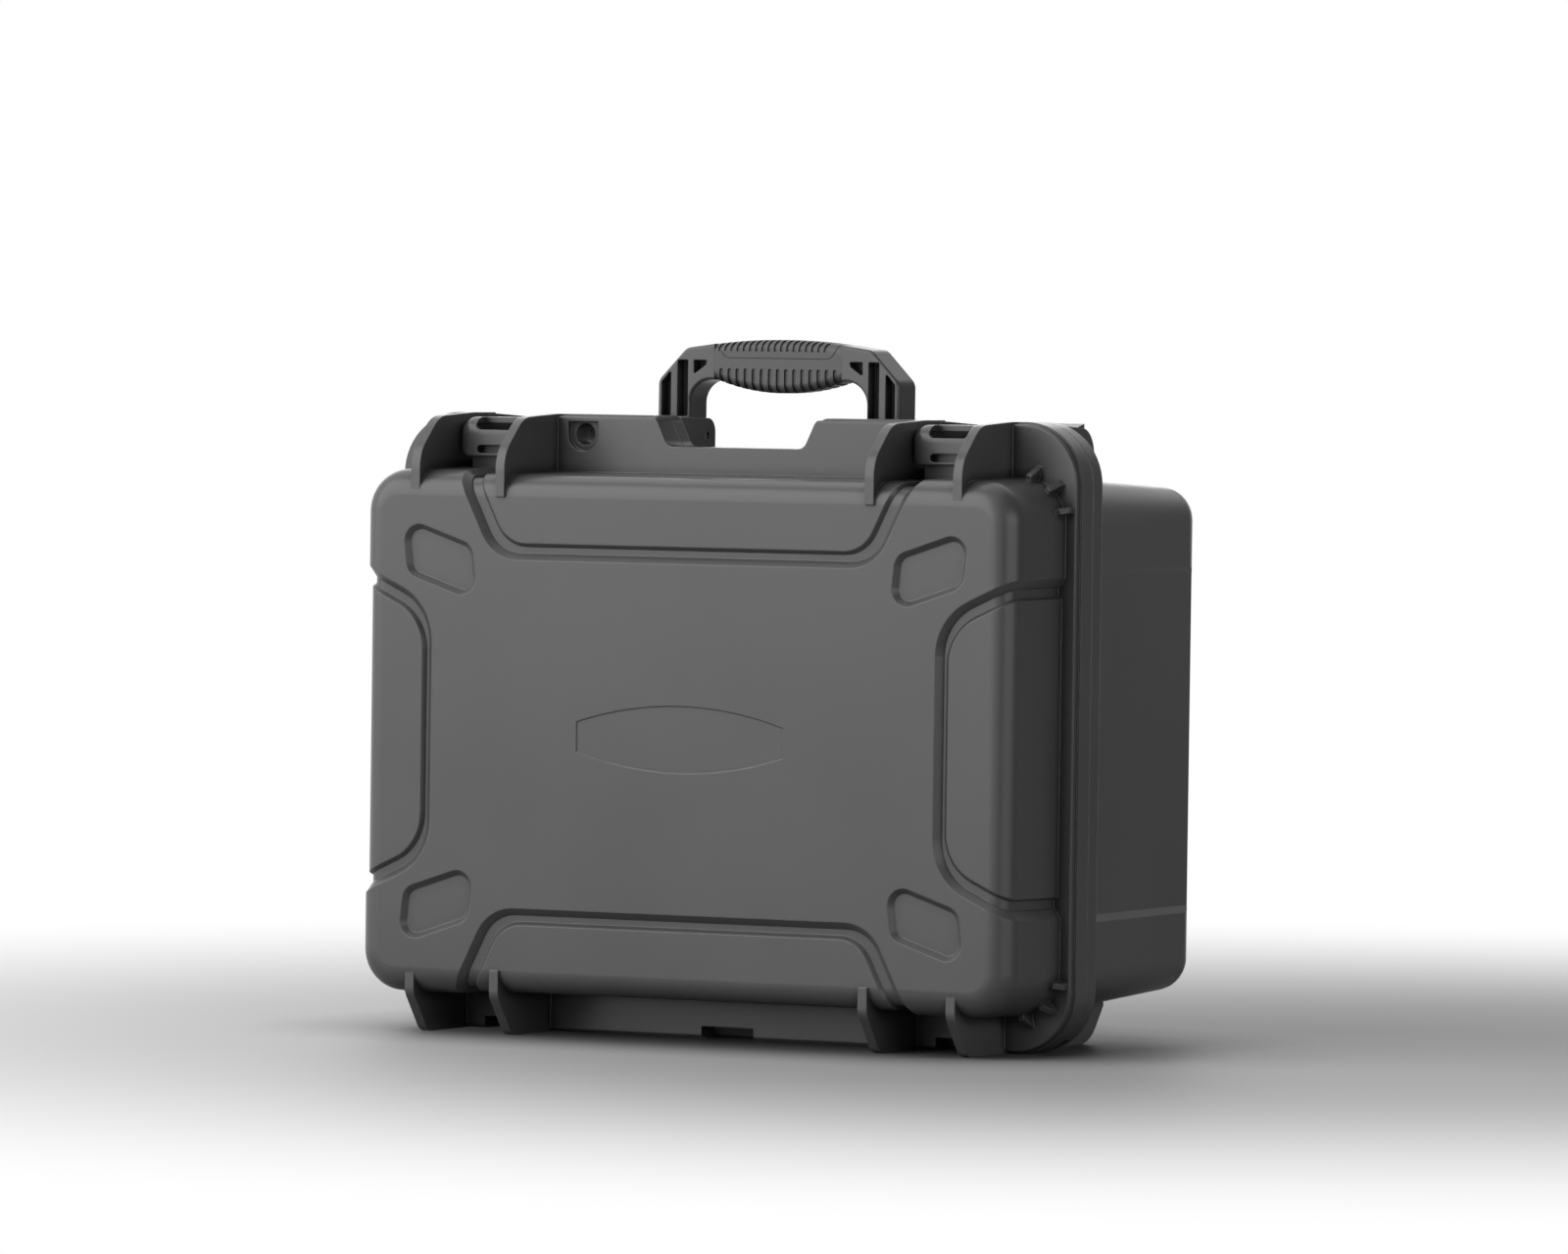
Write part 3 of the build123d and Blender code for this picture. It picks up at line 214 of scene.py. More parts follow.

# %% Group: wire the edge rubbing and painted highlight
rin = new_node(rubbing_highlight_group, "NodeGroupInput", -1000, 0)
rout = new_node(rubbing_highlight_group, "NodeGroupOutput", 700, 0)
surface = new_node(rubbing_highlight_group, "ShaderNodeNewGeometry", -1000, -250)
at = new_node(rubbing_highlight_group, "ShaderNodeTexCoord", -1000, -500)
meet = new_node(rubbing_highlight_group, "ShaderNodeVectorMath", -750, -150, operation="DOT_PRODUCT")
edge = new_node(rubbing_highlight_group, "ShaderNodeMapRange", -550, -150)
edge.inputs["From Min"].default_value = 0.995
edge.inputs["From Max"].default_value = 0.90
patchy = noise(rubbing_highlight_group, -750, -450, 70.0, 4.0, 0.6)
broken = new_node(rubbing_highlight_group, "ShaderNodeMath", -300, -250, operation="MULTIPLY")
rubbing_highlight_mask = new_node(rubbing_highlight_group, "ShaderNodeMath", -100, -250, operation="MULTIPLY", use_clamp=True)
# paler colour at the edges: partly rubbing, partly a painted highlight
paler = new_node(rubbing_highlight_group, "ShaderNodeMix", 150, 150, data_type="RGBA")
shine = new_node(rubbing_highlight_group, "ShaderNodeMath", 150, -150, operation="MULTIPLY_ADD")
shine.inputs[1].default_value = -0.12
rubbing_highlight_group.links.new(rin.outputs["Bevelled"], meet.inputs[0])
rubbing_highlight_group.links.new(surface.outputs["Normal"], meet.inputs[1])
rubbing_highlight_group.links.new(meet.outputs["Value"], edge.inputs["Value"])
rubbing_highlight_group.links.new(at.outputs["Object"], patchy.inputs["Vector"])
rubbing_highlight_group.links.new(edge.outputs["Result"], broken.inputs[0])
rubbing_highlight_group.links.new(ranged(rubbing_highlight_group, -550, -450, patchy.outputs["Fac"], 0.35, 1.3), broken.inputs[1])
rubbing_highlight_group.links.new(broken.outputs[0], rubbing_highlight_mask.inputs[0])
rubbing_highlight_group.links.new(rin.outputs["Amount"], rubbing_highlight_mask.inputs[1])
rubbing_highlight_group.links.new(rubbing_highlight_mask.outputs[0], paler.inputs["Factor"])
rubbing_highlight_group.links.new(rin.outputs["Colour"], paler.inputs["A"])
rubbing_highlight_group.links.new(rin.outputs["Paler edge colour"], paler.inputs["B"])
rubbing_highlight_group.links.new(rubbing_highlight_mask.outputs[0], shine.inputs[0])
rubbing_highlight_group.links.new(rin.outputs["Roughness"], shine.inputs[2])
rubbing_highlight_group.links.new(paler.outputs["Result"], rout.inputs["Colour"])
rubbing_highlight_group.links.new(shine.outputs[0], rout.inputs["Roughness"])
print("edge rubbing and painted highlight nodes:", len(rubbing_highlight_group.nodes))


# %% [markdown]
# ## Painted recess shade
# The grooves round the pads and panels read as dark lines. The Ambient Occlusion node
# tells how shut in a point is by its own piece, so a third group takes the colour down
# there: painted shade, for the shade that falls into the grooves.

# %% Group: painted recess shade
recess = bpy.data.node_groups.new("painted recess shade", "ShaderNodeTree")
group_socket(recess, "Colour", "NodeSocketColor", "INPUT", (0.1, 0.1, 0.1, 1))
group_socket(recess, "Reach", "NodeSocketFloat", "INPUT", 0.006)
group_socket(recess, "Deepest", "NodeSocketFloat", "INPUT", 0.4)
group_socket(recess, "Colour", "NodeSocketColor", "OUTPUT")
cin = new_node(recess, "NodeGroupInput", -800, 0)
cout = new_node(recess, "NodeGroupOutput", 400, 0)
# painted shade: the colour is taken down where the piece shuts a point in
shut = new_node(recess, "ShaderNodeAmbientOcclusion", -600, -100, samples=8, only_local=True)
open_sky = new_node(recess, "ShaderNodeMapRange", -350, -100)
open_sky.inputs["From Min"].default_value = 0.5
open_sky.inputs["From Max"].default_value = 0.97
painted_shade_colour = new_node(recess, "ShaderNodeHueSaturation", 100, 0)
recess.links.new(cin.outputs["Reach"], shut.inputs["Distance"])
recess.links.new(shut.outputs["AO"], open_sky.inputs["Value"])
recess.links.new(cin.outputs["Deepest"], open_sky.inputs["To Min"])
recess.links.new(open_sky.outputs["Result"], painted_shade_colour.inputs["Value"])
recess.links.new(cin.outputs["Colour"], painted_shade_colour.inputs["Color"])
recess.links.new(painted_shade_colour.outputs["Color"], cout.inputs["Colour"])
print("painted recess shade nodes:", len(recess.nodes))


# %% [markdown]
# ## Moulded plastic, part two: the materials
# Each plastic piece takes the grain, the painted recess shade and the edge rubbing with its
# painted highlight, each with its own colour and gloss. A mould never has knife edges, so
# the Bevel node also rounds the shading of every edge by a hair, which catches the light as
# the real edges do. The Principled shader stays in the material itself.

# %% Moulded materials
def moulded(name, colour, roughness, bump, edge, grain_size=1600.0, spread=0.04, rubbing_and_highlight=0.7,
            reach=0.007, deepest=0.3):
    made, tree, skin = new_material(name)
    skin.inputs["Specular IOR Level"].default_value = 0.5
    cell = new_node(tree, "ShaderNodeGroup", -900, 100, node_tree=grain)
    cell.inputs["Colour"].default_value = (*colour, 1)
    cell.inputs["Roughness"].default_value = roughness
    cell.inputs["Gloss spread"].default_value = spread
    cell.inputs["Grain size"].default_value = grain_size
    soft = new_node(tree, "ShaderNodeBevel", -900, -300, samples=6)
    soft.inputs["Radius"].default_value = edge
    # painted shade in the grooves and recesses
    low = new_node(tree, "ShaderNodeGroup", -700, 250, node_tree=recess)
    low.inputs["Reach"].default_value = reach
    low.inputs["Deepest"].default_value = deepest
    rubbing_highlight_node = new_node(tree, "ShaderNodeGroup", -450, 100, node_tree=rubbing_highlight_group)
    rubbing_highlight_node.inputs["Amount"].default_value = rubbing_and_highlight
    rubbing_highlight_node.inputs["Paler edge colour"].default_value = (*[min(1.0, 1.7 * c + 0.015) for c in colour], 1)
    relief = new_node(tree, "ShaderNodeBump", -250, -200)
    relief.inputs["Strength"].default_value = bump
    relief.inputs["Distance"].default_value = 0.0002
    tree.links.new(soft.outputs["Normal"], rubbing_highlight_node.inputs["Bevelled"])
    tree.links.new(cell.outputs["Colour"], low.inputs["Colour"])
    tree.links.new(low.outputs["Colour"], rubbing_highlight_node.inputs["Colour"])
    tree.links.new(cell.outputs["Roughness"], rubbing_highlight_node.inputs["Roughness"])
    tree.links.new(rubbing_highlight_node.outputs["Colour"], skin.inputs["Base Color"])
    tree.links.new(rubbing_highlight_node.outputs["Roughness"], skin.inputs["Roughness"])
    tree.links.new(cell.outputs["Height"], relief.inputs["Height"])
    tree.links.new(soft.outputs["Normal"], relief.inputs["Normal"])
    tree.links.new(relief.outputs["Normal"], skin.inputs["Normal"])
    print("material", name)
    return made


shell_grey = moulded("shell grey", (0.090, 0.090, 0.091), 0.32, 0.12, 0.0009, spread=0.03)
handle_grey = moulded("handle grey", (0.082, 0.082, 0.083), 0.32, 0.12, 0.0008, spread=0.03)
latch_grey = moulded("latch grey", (0.076, 0.076, 0.077), 0.30, 0.10, 0.0007, spread=0.02)
valve_black = moulded("valve black", (0.03, 0.03, 0.031), 0.38, 0.2, 0.0005)
grip_rubber = moulded("grip rubber", (0.090, 0.090, 0.091), 0.45, 0.35, 0.0004, 2200.0, rubbing_and_highlight=0.25)
seal_rubber = moulded("seal rubber", (0.018, 0.018, 0.018), 0.55, 0.3, 0.0002, 2600.0, rubbing_and_highlight=0.0)


# %% [markdown]
# ## Steel pins
# The hinge, latch and handle pins are plain drawn steel. Drawing leaves faint lines
# along the rod, so the noise is stretched along X, which is the way all pins lie. Their
# cut ends are a little brighter, partly from rubbing and partly as a painted highlight,
# which the group for edge rubbing gives.

# %% Pin steel
def drawn_steel(name, colour, roughness):
    made, tree, skin = new_material(name)
    skin.inputs["Metallic"].default_value = 1.0
    where = new_node(tree, "ShaderNodeTexCoord", -1100, 0)
    stretch = new_node(tree, "ShaderNodeMapping", -900, 0)
    stretch.inputs["Scale"].default_value = (0.05, 1.0, 1.0)
    lines = noise(tree, -700, 0, 2400.0, 3.0, 0.6)
    shade = new_node(tree, "ShaderNodeMix", -250, 150, data_type="RGBA")
    shade.inputs["A"].default_value = (*[0.8 * c for c in colour], 1)
    shade.inputs["B"].default_value = (*colour, 1)
    gloss = ranged(tree, -450, -100, lines.outputs["Fac"], roughness - 0.06, roughness + 0.06)
    soft = new_node(tree, "ShaderNodeBevel", -700, -400, samples=6)
    soft.inputs["Radius"].default_value = 0.0004
    # brighter pin ends: partly rubbing, partly a painted highlight
    rubbing_highlight_node = new_node(tree, "ShaderNodeGroup", -50, 150, node_tree=rubbing_highlight_group)
    rubbing_highlight_node.inputs["Amount"].default_value = 0.6
    rubbing_highlight_node.inputs["Paler edge colour"].default_value = (*[1.25 * c for c in colour], 1)
    relief = new_node(tree, "ShaderNodeBump", -250, -250)
    relief.inputs["Strength"].default_value = 0.15
    relief.inputs["Distance"].default_value = 0.0001
    tree.links.new(where.outputs["Object"], stretch.inputs["Vector"])
    tree.links.new(stretch.outputs["Vector"], lines.inputs["Vector"])
    tree.links.new(lines.outputs["Fac"], shade.inputs["Factor"])
    tree.links.new(soft.outputs["Normal"], rubbing_highlight_node.inputs["Bevelled"])
    tree.links.new(shade.outputs["Result"], rubbing_highlight_node.inputs["Colour"])
    tree.links.new(gloss, rubbing_highlight_node.inputs["Roughness"])
    tree.links.new(rubbing_highlight_node.outputs["Colour"], skin.inputs["Base Color"])
    tree.links.new(rubbing_highlight_node.outputs["Roughness"], skin.inputs["Roughness"])
    tree.links.new(lines.outputs["Fac"], relief.inputs["Height"])
    tree.links.new(soft.outputs["Normal"], relief.inputs["Normal"])
    tree.links.new(relief.outputs["Normal"], skin.inputs["Normal"])
    print("material", name)
    return made


pin_steel = drawn_steel("pin steel", (0.56, 0.56, 0.57), 0.32)


# %% [markdown]
# ## Open-cell foam
# Foam is soft, matt and full of tiny open cells. A Voronoi pattern makes the cells as
# pits, and a little sheen gives the pale bloom that foam shows at grazing angles.

# %% Foam material
def open_cell(name, colour):
    made, tree, skin = new_material(name)
    skin.inputs["Sheen Weight"].default_value = 0.25
    skin.inputs["Sheen Roughness"].default_value = 0.6
    where = new_node(tree, "ShaderNodeTexCoord", -1100, 0)
    cells = new_node(tree, "ShaderNodeTexVoronoi", -800, 0)
    cells.inputs["Scale"].default_value = 900.0
    shade = new_node(tree, "ShaderNodeMix", -250, 150, data_type="RGBA")
    shade.inputs["A"].default_value = (*[0.45 * c for c in colour], 1)
    shade.inputs["B"].default_value = (*colour, 1)
    relief = new_node(tree, "ShaderNodeBump", -250, -250)
    relief.inputs["Strength"].default_value = 0.7
    relief.inputs["Distance"].default_value = 0.0006
    tree.links.new(where.outputs["Object"], cells.inputs["Vector"])
    tree.links.new(cells.outputs["Distance"], shade.inputs["Factor"])
    tree.links.new(shade.outputs["Result"], skin.inputs["Base Color"])
    tree.links.new(ranged(tree, -450, -80, cells.outputs["Distance"], 0.85, 0.97),
                   skin.inputs["Roughness"])
    tree.links.new(cells.outputs["Distance"], relief.inputs["Height"])
    tree.links.new(relief.outputs["Normal"], skin.inputs["Normal"])
    print("material", name)
    return made


foam_grey = open_cell("foam grey", (0.072, 0.072, 0.076))

# %% [markdown]
# ## Dress the model's own pieces
# Every piece of the loaded model gets its finish by its name. Smooth shading follows the
# round faces and stays crisp at corners, because the model carries its own normals.

# %% Assign the finishes
finishes = {
    "handle_frame": handle_grey, "handle_grip": grip_rubber, "lid_seal": seal_rubber,
    "valve_body": valve_black, "valve_knob": valve_black, "valve_washer": seal_rubber,
}
for name, piece in nodes.items():
    finish = finishes.get(name, shell_grey)
    if "latch" in name:
        finish = latch_grey
    if "_pin" in name:
        finish = pin_steel
    if "foam" in name:
        finish = foam_grey
    piece.data.materials.clear()
    piece.data.materials.append(finish)
print("dressed", len(nodes), "pieces")


# %% [markdown]
# ## Convoluted foam in the lid
# The lid of such a case is lined with convoluted foam: rows of soft peaks and hollows
# that press on the goods. One peak is modelled from a grid whose middle is pulled up
# with proportional editing, then the Array modifier repeats it across the lid, and a
# slab of the same foam backs it.

# %% Helpers for the foam
def foam_box(node, margin):
    low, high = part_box(node)
    return Vector(low) + Vector((margin, 0, margin)), Vector(high) - Vector((margin, 0, margin))


def repeat(piece, across, up, step_x, step_z, join_within=0.0):
    """Copy a piece along X, then the whole row along Z."""
    for name, count, step in (("x", across, (step_x, 0, 0)), ("z", up, (0, 0, step_z))):
        array = piece.modifiers.new("row " + name, "ARRAY")
        array.count = count
        array.use_relative_offset = False
        array.use_constant_offset = True
        array.constant_offset_displace = step
        array.use_merge_vertices = join_within > 0
        array.merge_threshold = join_within
        bpy.ops.object.modifier_apply(modifier=array.name)


# %% One foam peak
LID_MARGIN = 0.009
PEAKS_ACROSS, PEAKS_UP = 13, 9
PEAK_RISE = 0.011
PEAK_SPREAD = 0.62
VALLEY_DROP = 0.0118
BACK_GAP = 0.0004
JOIN_WITHIN = 0.0005
peak_low, peak_high = foam_box("lid_foam", LID_MARGIN)
cell_w = (peak_high.x - peak_low.x) / PEAKS_ACROSS
cell_h = (peak_high.z - peak_low.z) / PEAKS_UP
deselect()
bpy.ops.mesh.primitive_grid_add(x_subdivisions=8, y_subdivisions=8, size=1,
                                location=(peak_low.x + cell_w / 2, 0, peak_low.z + cell_h / 2),
                                rotation=(-math.pi / 2, 0, 0))
peaks = settle(newest("lid_foam_convoluted"))
for v in peaks.data.vertices:
    v.co.x = peak_low.x + (v.co.x - peak_low.x - cell_w / 2 + 0.5) * cell_w
    v.co.z = peak_low.z + (v.co.z - peak_low.z - cell_h / 2 + 0.5) * cell_h
print("foam cell, mm:", round(1000 * cell_w, 1), round(1000 * cell_h, 1))

# %% Pull the peak up and repeat it
bpy.ops.object.mode_set(mode="EDIT")
bpy.ops.mesh.select_mode(type="VERT")
mesh = bmesh.from_edit_mesh(peaks.data)
middle = Vector((peak_low.x + cell_w / 2, 0, peak_low.z + cell_h / 2))
for v in mesh.verts:
    v.select_set((v.co - middle).length < 0.001)
mesh.select_flush_mode()
bmesh.update_edit_mesh(peaks.data)
bpy.ops.transform.translate(value=(0, PEAK_RISE, 0), use_proportional_edit=True,
                            proportional_edit_falloff="SMOOTH",
                            proportional_size=PEAK_SPREAD * cell_w)
bpy.ops.object.mode_set(mode="OBJECT")
repeat(peaks, PEAKS_ACROSS, PEAKS_UP, cell_w, cell_h, JOIN_WITHIN)
print("peaks:", PEAKS_ACROSS * PEAKS_UP, "faces:", len(peaks.data.polygons))

# %% Back the peaks with a slab
foam_low, foam_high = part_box("lid_foam")
valley = foam_high[1] - VALLEY_DROP
for v in peaks.data.vertices:
    v.co.y += valley
bpy.ops.object.mode_set(mode="EDIT")
bpy.ops.mesh.select_all(action="SELECT")
bpy.ops.mesh.region_to_loop()
depth = foam_low[1] + BACK_GAP - valley
bpy.ops.mesh.extrude_edges_move(TRANSFORM_OT_translate={"value": (0, depth, 0)})
bpy.ops.mesh.edge_face_add()
bpy.ops.mesh.select_all(action="SELECT")
bpy.ops.mesh.normals_make_consistent(inside=False)
bpy.ops.object.mode_set(mode="OBJECT")
bpy.ops.object.shade_smooth_by_angle(angle=math.radians(50))
peaks.data.materials.append(foam_grey)
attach(peaks, "lid")
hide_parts("lid_foam")
print("lid foam, faces:", len(peaks.data.polygons))

# %% [markdown]
# ## Diced foam in the base
# The base has foam that is cut nearly through in small squares, so that the owner can
# pluck out the shape of the goods. One block with soft corners is copied by arrays, and
# the thin dark gaps between the blocks are real gaps over a common slab.

# %% One plucking block
BLOCKS_ACROSS, BLOCKS_UP = 24, 17
SLAB = 0.004
SLAB_MARGIN = 0.0005
SLAB_CORNER = 0.014
SLIT = 0.001
BLOCK_ROUND = 0.0022
BASE_MARGIN = 0.009
base_low, base_high = foam_box("base_foam", BASE_MARGIN)
block_w = (base_high.x - base_low.x) / BLOCKS_ACROSS
block_h = (base_high.z - base_low.z) / BLOCKS_UP
front, back = base_low.y, base_high.y
deselect()
first = (base_low.x + block_w / 2, (front + back - SLAB) / 2, base_low.z + block_h / 2)
bpy.ops.mesh.primitive_cube_add(size=1, location=first,
                                scale=(block_w - SLIT, back - front - SLAB, block_h - SLIT))
blocks = settle(newest("base_foam_diced"))
pick_faces(blocks, lambda centre, normal: normal.y < -0.9)
bpy.ops.mesh.bevel(offset=BLOCK_ROUND, segments=2, affect="EDGES")
bpy.ops.object.mode_set(mode="OBJECT")
print("one block, mm:", round(1000 * block_w, 1), round(1000 * block_h, 1))

# %% Repeat the blocks and back them with a slab
repeat(blocks, BLOCKS_ACROSS, BLOCKS_UP, block_w, block_h)
slab_low, slab_high = foam_box("base_foam", SLAB_MARGIN)
deselect()
centre = ((slab_low.x + slab_high.x) / 2, back - SLAB / 2, (slab_low.z + slab_high.z) / 2)
bpy.ops.mesh.primitive_cube_add(size=1, location=centre,
                                scale=(slab_high.x - slab_low.x, SLAB, slab_high.z - slab_low.z))
slab = settle(newest("base_foam_slab"))
pick_faces(slab, lambda centre, normal: abs(normal.y) < 0.1)
bpy.ops.mesh.select_mode(type="EDGE")
mesh = bmesh.from_edit_mesh(slab.data)
for side in mesh.edges:
    run = side.verts[0].co - side.verts[1].co
    side.select_set(abs(run.y) > 0.9 * run.length)
bmesh.update_edit_mesh(slab.data)
bpy.ops.mesh.bevel(offset=SLAB_CORNER, segments=6, affect="EDGES")
bpy.ops.object.mode_set(mode="OBJECT")
print("slab faces:", len(slab.data.polygons))

# %% Join the base foam
deselect()
slab.select_set(True)
blocks.select_set(True)
bpy.context.view_layer.objects.active = blocks
bpy.ops.object.join()
bpy.ops.object.shade_smooth_by_angle(angle=math.radians(35))
blocks.data.materials.clear()
blocks.data.materials.append(foam_grey)
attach(blocks, "base")
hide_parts("base_foam")
print("base foam, faces:", len(blocks.data.polygons))

# %% [markdown]
# ## The camera
# The photograph was taken from the front right, a little above the middle of the case,
# with a long lens, so lines that run away from us hardly come together. The camera's
# own axes are written as the columns of its matrix.

# %% Camera
CAMERA_AT = (2.7810, -5.17085, 0.38966)
RIGHT = (0.88043, 0.47398, 0.01350)
UP = (-0.02511, 0.01818, 0.99952)
AHEAD = (-0.47351, 0.88035, -0.02791)
columns = [Vector(RIGHT), Vector(UP), -Vector(AHEAD)]
turn = Matrix([[c[i] for c in columns] for i in range(3)]).to_4x4()
lens = bpy.data.cameras.new("camera")
lens.lens = 243.75
lens.sensor_width = 36.0
lens.clip_end = 100.0
camera = bpy.data.objects.new("camera", lens)
camera.matrix_world = Matrix.Translation(CAMERA_AT) @ turn
bpy.context.collection.objects.link(camera)
bpy.context.scene.camera = camera
print("camera", round(lens.lens, 1), "mm")

# %% [markdown]
# ## The studio
# The studio is white where the camera looks, and its light is soft. In the photograph the
# case's right side is much darker than its front, as when a dark board stands off to the
# right. A small group of nodes gives that: it reads a direction and puts out how bright
# the studio is there. The world uses it, and so does the floor.

# %% Group: how bright the studio is in a direction
studio = bpy.data.node_groups.new("studio brightness", "ShaderNodeTree")
group_socket(studio, "Direction", "NodeSocketVector", "INPUT")
group_socket(studio, "Brightness", "NodeSocketFloat", "OUTPUT")
way_in = new_node(studio, "NodeGroupInput", -600, 0)
way_out = new_node(studio, "NodeGroupOutput", 400, 0)
unit = new_node(studio, "ShaderNodeVectorMath", -400, 0, operation="NORMALIZE")
towards = new_node(studio, "ShaderNodeVectorMath", -200, 0, operation="DOT_PRODUCT")
towards.inputs[1].default_value = (0.99, 0.15, 0.0)
board = new_node(studio, "ShaderNodeMapRange", 0, 0, interpolation_type="SMOOTHSTEP")
board.inputs["From Min"].default_value = 0.1
board.inputs["From Max"].default_value = 0.5
board.inputs["To Min"].default_value = 1.0
board.inputs["To Max"].default_value = 0.15
studio.links.new(way_in.outputs["Direction"], unit.inputs[0])
studio.links.new(unit.outputs["Vector"], towards.inputs[0])
studio.links.new(towards.outputs["Value"], board.inputs["Value"])
studio.links.new(board.outputs["Result"], way_out.inputs["Brightness"])
print("studio group with", len(studio.nodes), "nodes")

# %% [markdown]
# ## The floor
# The floor is a pale sheet. Close to the case it keeps the real shadow, and further out
# it runs into white, so no horizon shows. A light path node tells what looks at the
# floor: the camera and reflections see it pale, and the light that it throws back up
# under the case is that of a greyer sheet, because the photograph's case is dark below.
# Right at the case's foot the shadow is dark, so the sheet also gets a painted shadow:
# its colour is a little darker where the case shuts it in, which the Ambient Occlusion
# node tells.

# %% Floor
def looked_at(tree, x, y):
    """1 for what the camera, a reflection or glass looks at, and 0 for other light."""
    paths = new_node(tree, "ShaderNodeLightPath", x, y)
    pair = new_node(tree, "ShaderNodeMath", x + 200, y, operation="ADD")
    every = new_node(tree, "ShaderNodeMath", x + 400, y, operation="ADD", use_clamp=True)
    tree.links.new(paths.outputs["Is Camera Ray"], pair.inputs[0])
    tree.links.new(paths.outputs["Is Glossy Ray"], pair.inputs[1])
    tree.links.new(pair.outputs[0], every.inputs[0])
    tree.links.new(paths.outputs["Is Transmission Ray"], every.inputs[1])
    return every.outputs[0], paths.outputs["Is Glossy Ray"]


def board_light(tree, x, y, direction, glossy):
    """White for the camera, and the studio's own brightness for a reflection."""
    cell = new_node(tree, "ShaderNodeGroup", x, y, node_tree=studio)
    blend = new_node(tree, "ShaderNodeMix", x + 200, y, data_type="FLOAT")
    blend.inputs["A"].default_value = 1.0
    tree.links.new(direction, cell.inputs["Direction"])
    tree.links.new(glossy, blend.inputs["Factor"])
    tree.links.new(cell.outputs["Brightness"], blend.inputs["B"])
    return blend.outputs["Result"], cell.outputs["Brightness"]


deselect()
bpy.ops.mesh.primitive_plane_add(size=60, location=(0, 0, cad_low[2]))
floor = settle(newest("floor"))
floor_paint, paint, floor_skin = new_material("pale floor")
floor_skin.inputs["Roughness"].default_value = 0.6
floor_skin.inputs["Specular IOR Level"].default_value = 0.2
looked, glossy = looked_at(paint, -1100, 400)
sheet = new_node(paint, "ShaderNodeMix", -250, 300, data_type="RGBA")
sheet.inputs["A"].default_value = (0.16, 0.16, 0.16, 1)
sheet.inputs["B"].default_value = (0.58, 0.58, 0.58, 1)
# painted shadow: the sheet's colour is darker where the case shuts it in
foot = new_node(paint, "ShaderNodeAmbientOcclusion", -500, 600, samples=8)
foot.inputs["Distance"].default_value = 0.09
shade = new_node(paint, "ShaderNodeMapRange", -300, 600)
shade.inputs["From Min"].default_value = 0.45
shade.inputs["To Min"].default_value = 0.2
painted_foot_shadow = new_node(paint, "ShaderNodeHueSaturation", -50, 450)
paint.links.new(foot.outputs["AO"], shade.inputs["Value"])
paint.links.new(shade.outputs["Result"], painted_foot_shadow.inputs["Value"])
paint.links.new(looked, sheet.inputs["Factor"])
paint.links.new(sheet.outputs["Result"], painted_foot_shadow.inputs["Color"])
paint.links.new(painted_foot_shadow.outputs["Color"], floor_skin.inputs["Base Color"])
floor.data.materials.append(floor_paint)
print("floor laid")

# %% Let the floor run out into white
NEAR, FAR = 0.30, 1.25
spot = new_node(paint, "ShaderNodeTexCoord", -1300, -200)
shift = new_node(paint, "ShaderNodeVectorMath", -1100, -200, operation="SUBTRACT")
shift.inputs[1].default_value = (0.2, 0.1, 0.0)
reach = new_node(paint, "ShaderNodeVectorMath", -900, -200, operation="LENGTH")
far = new_node(paint, "ShaderNodeMapRange", -700, -200, interpolation_type="SMOOTHSTEP")
far.inputs["From Min"].default_value = NEAR
far.inputs["From Max"].default_value = FAR
gone = new_node(paint, "ShaderNodeMath", -450, -200, operation="MULTIPLY")
blank = new_node(paint, "ShaderNodeEmission", 50, -250)
melt = new_node(paint, "ShaderNodeMixShader", 350, 0)
blank_level, _ = board_light(paint, -450, -450, spot.outputs["Object"], glossy)
paint.links.new(spot.outputs["Object"], shift.inputs[0])
paint.links.new(shift.outputs["Vector"], reach.inputs[0])
paint.links.new(reach.outputs["Value"], far.inputs["Value"])
paint.links.new(far.outputs["Result"], gone.inputs[0])
paint.links.new(looked, gone.inputs[1])
paint.links.new(gone.outputs[0], melt.inputs["Fac"])
paint.links.new(floor_skin.outputs["BSDF"], melt.inputs[1])
paint.links.new(blank_level, blank.inputs["Strength"])
paint.links.new(blank.outputs["Emission"], melt.inputs[2])
paint.links.new(melt.outputs["Shader"], paint.nodes["Material Output"].inputs["Surface"])
print("floor fades to white from", NEAR, "to", FAR, "m")

# %% [markdown]
# ## The world
# The world is white for the camera. As light it is only a weak fill, so that the shapes
# keep their shadows.

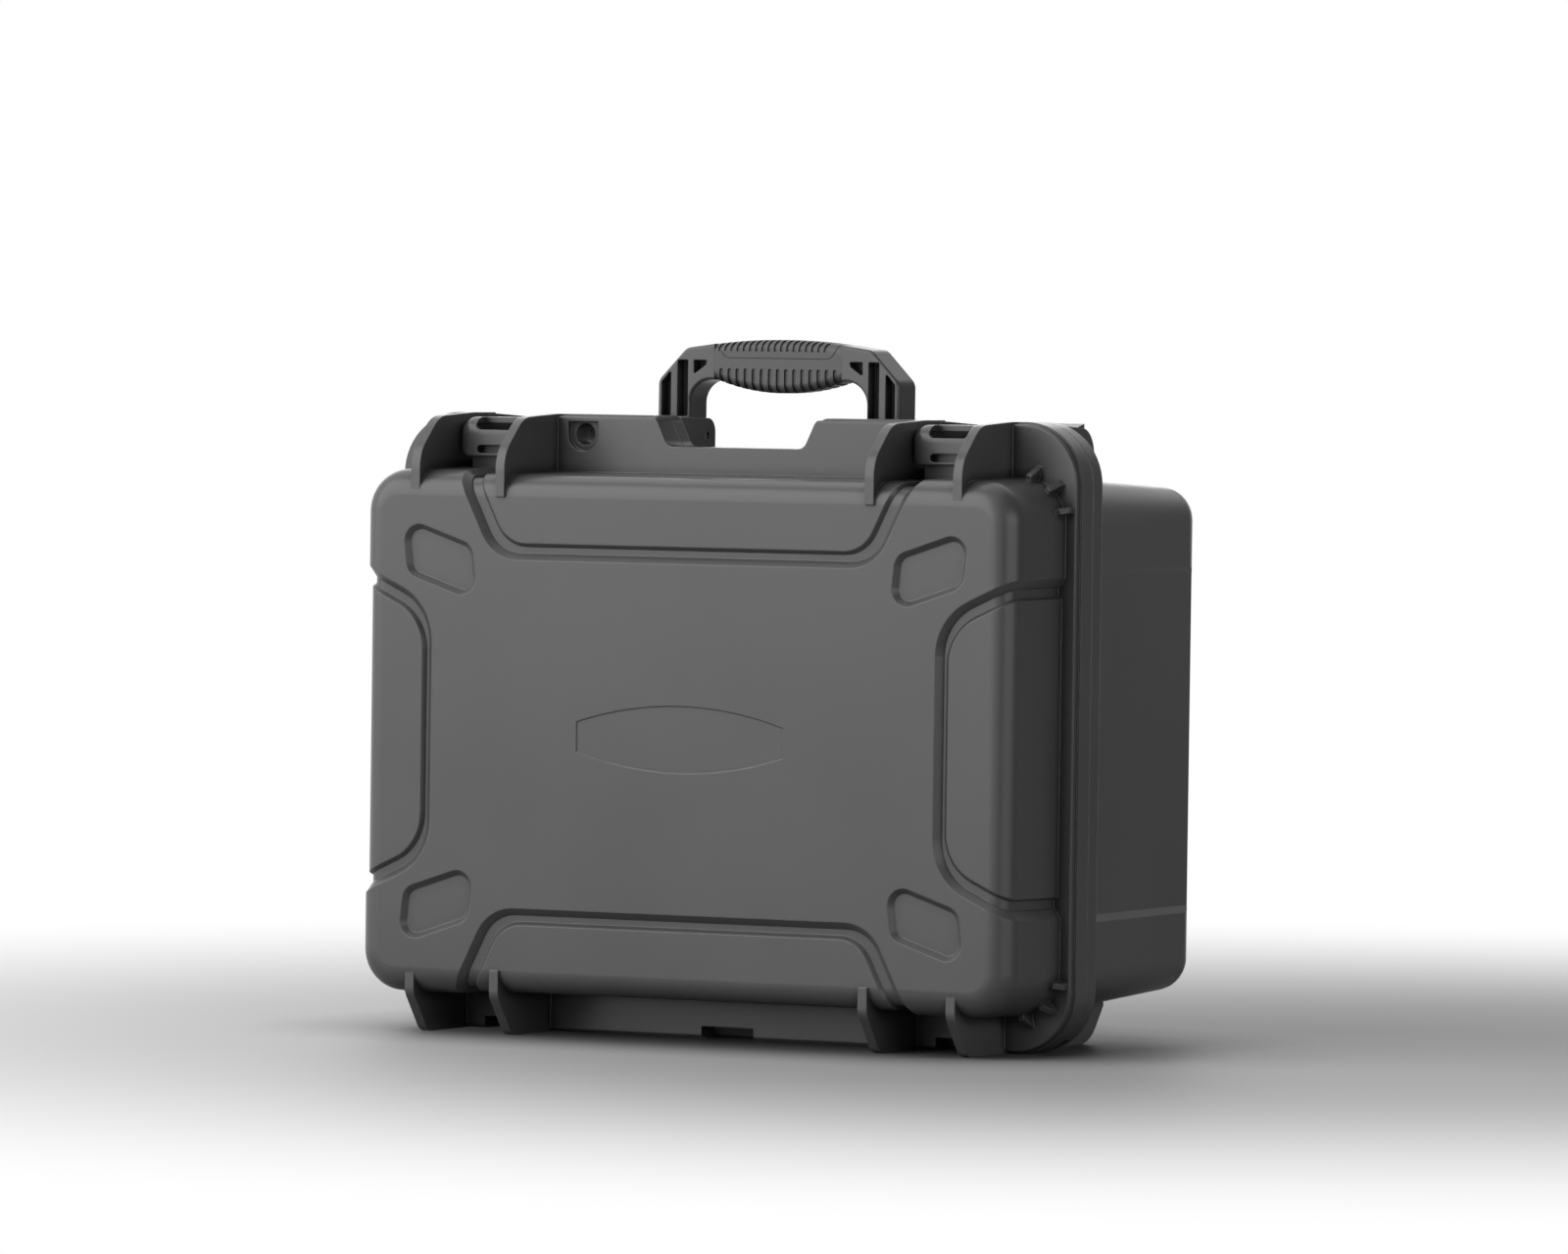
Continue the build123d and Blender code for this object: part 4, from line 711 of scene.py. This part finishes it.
# %% World
world = bpy.data.worlds.new("studio")
bpy.context.scene.world = world
world.use_nodes = True
sky = world.node_tree
sky.nodes.clear()
looked, glossy = looked_at(sky, -1000, 300)
where = new_node(sky, "ShaderNodeTexCoord", -1000, -100)
white_level, fill_level = board_light(sky, -800, -100, where.outputs["Generated"], glossy)
fill = new_node(sky, "ShaderNodeBackground", -150, -200)
white = new_node(sky, "ShaderNodeBackground", -150, 0)
weak = new_node(sky, "ShaderNodeMath", -350, -300, operation="MULTIPLY")
weak.inputs[1].default_value = 0.10
either = new_node(sky, "ShaderNodeMixShader", 100, 0)
result = new_node(sky, "ShaderNodeOutputWorld", 300, 0)
sky.links.new(fill_level, weak.inputs[0])
sky.links.new(weak.outputs[0], fill.inputs["Strength"])
sky.links.new(white_level, white.inputs["Strength"])
for ground in (fill, white):
    ground.inputs["Color"].default_value = (1, 1, 1, 1)
sky.links.new(looked, either.inputs["Fac"])
sky.links.new(fill.outputs[0], either.inputs[1])
sky.links.new(white.outputs[0], either.inputs[2])
sky.links.new(either.outputs[0], result.inputs["Surface"])
print("world lit")

# %% [markdown]
# ## Lamps
# Large area lamps work as soft boxes. The key box is much bigger than the case. It stands
# front left and high, and the whole front mirrors it softly, which makes the front look
# paler than the plastic's own colour and lets the light end sharply at the rounded
# corner. Its height leaves the lower edges dark. A weak box hangs over the case, a wide
# one behind keeps the back readable from other sides, and the dim one on the right draws
# the paler band that runs down the corner in the photograph.

# %% Lamps
def soft_box(name, at, target, width, height, power):
    lamp = bpy.data.lights.new(name, "AREA")
    lamp.shape = "RECTANGLE"
    lamp.size, lamp.size_y = width, height
    lamp.energy = power
    holder = bpy.data.objects.new(name, lamp)
    aim = (Vector(target) - Vector(at)).to_track_quat("-Z", "Y")
    holder.matrix_world = Matrix.Translation(at) @ aim.to_matrix().to_4x4()
    bpy.context.collection.objects.link(holder)
    print(name, power, "W")


middle = (0, 0, 0.17)
soft_box("key box", (-1.5, -2.02, 1.75), (0, 0, 1.2), 3.9, 3.2, 88)
soft_box("top box", (-0.7, 0.3, 2.0), middle, 1.0, 1.0, 2.5)
soft_box("back box", (-1.8, 2.4, 1.2), middle, 2.2, 1.8, 16)
soft_box("right box", (2.28, -0.74, 0.62), middle, 2.1, 1.2, 13)

# %% [markdown]
# ## Finish
# The view is kept plain, without a colour look.

# %% Finish
bpy.context.scene.view_settings.view_transform = "Standard"
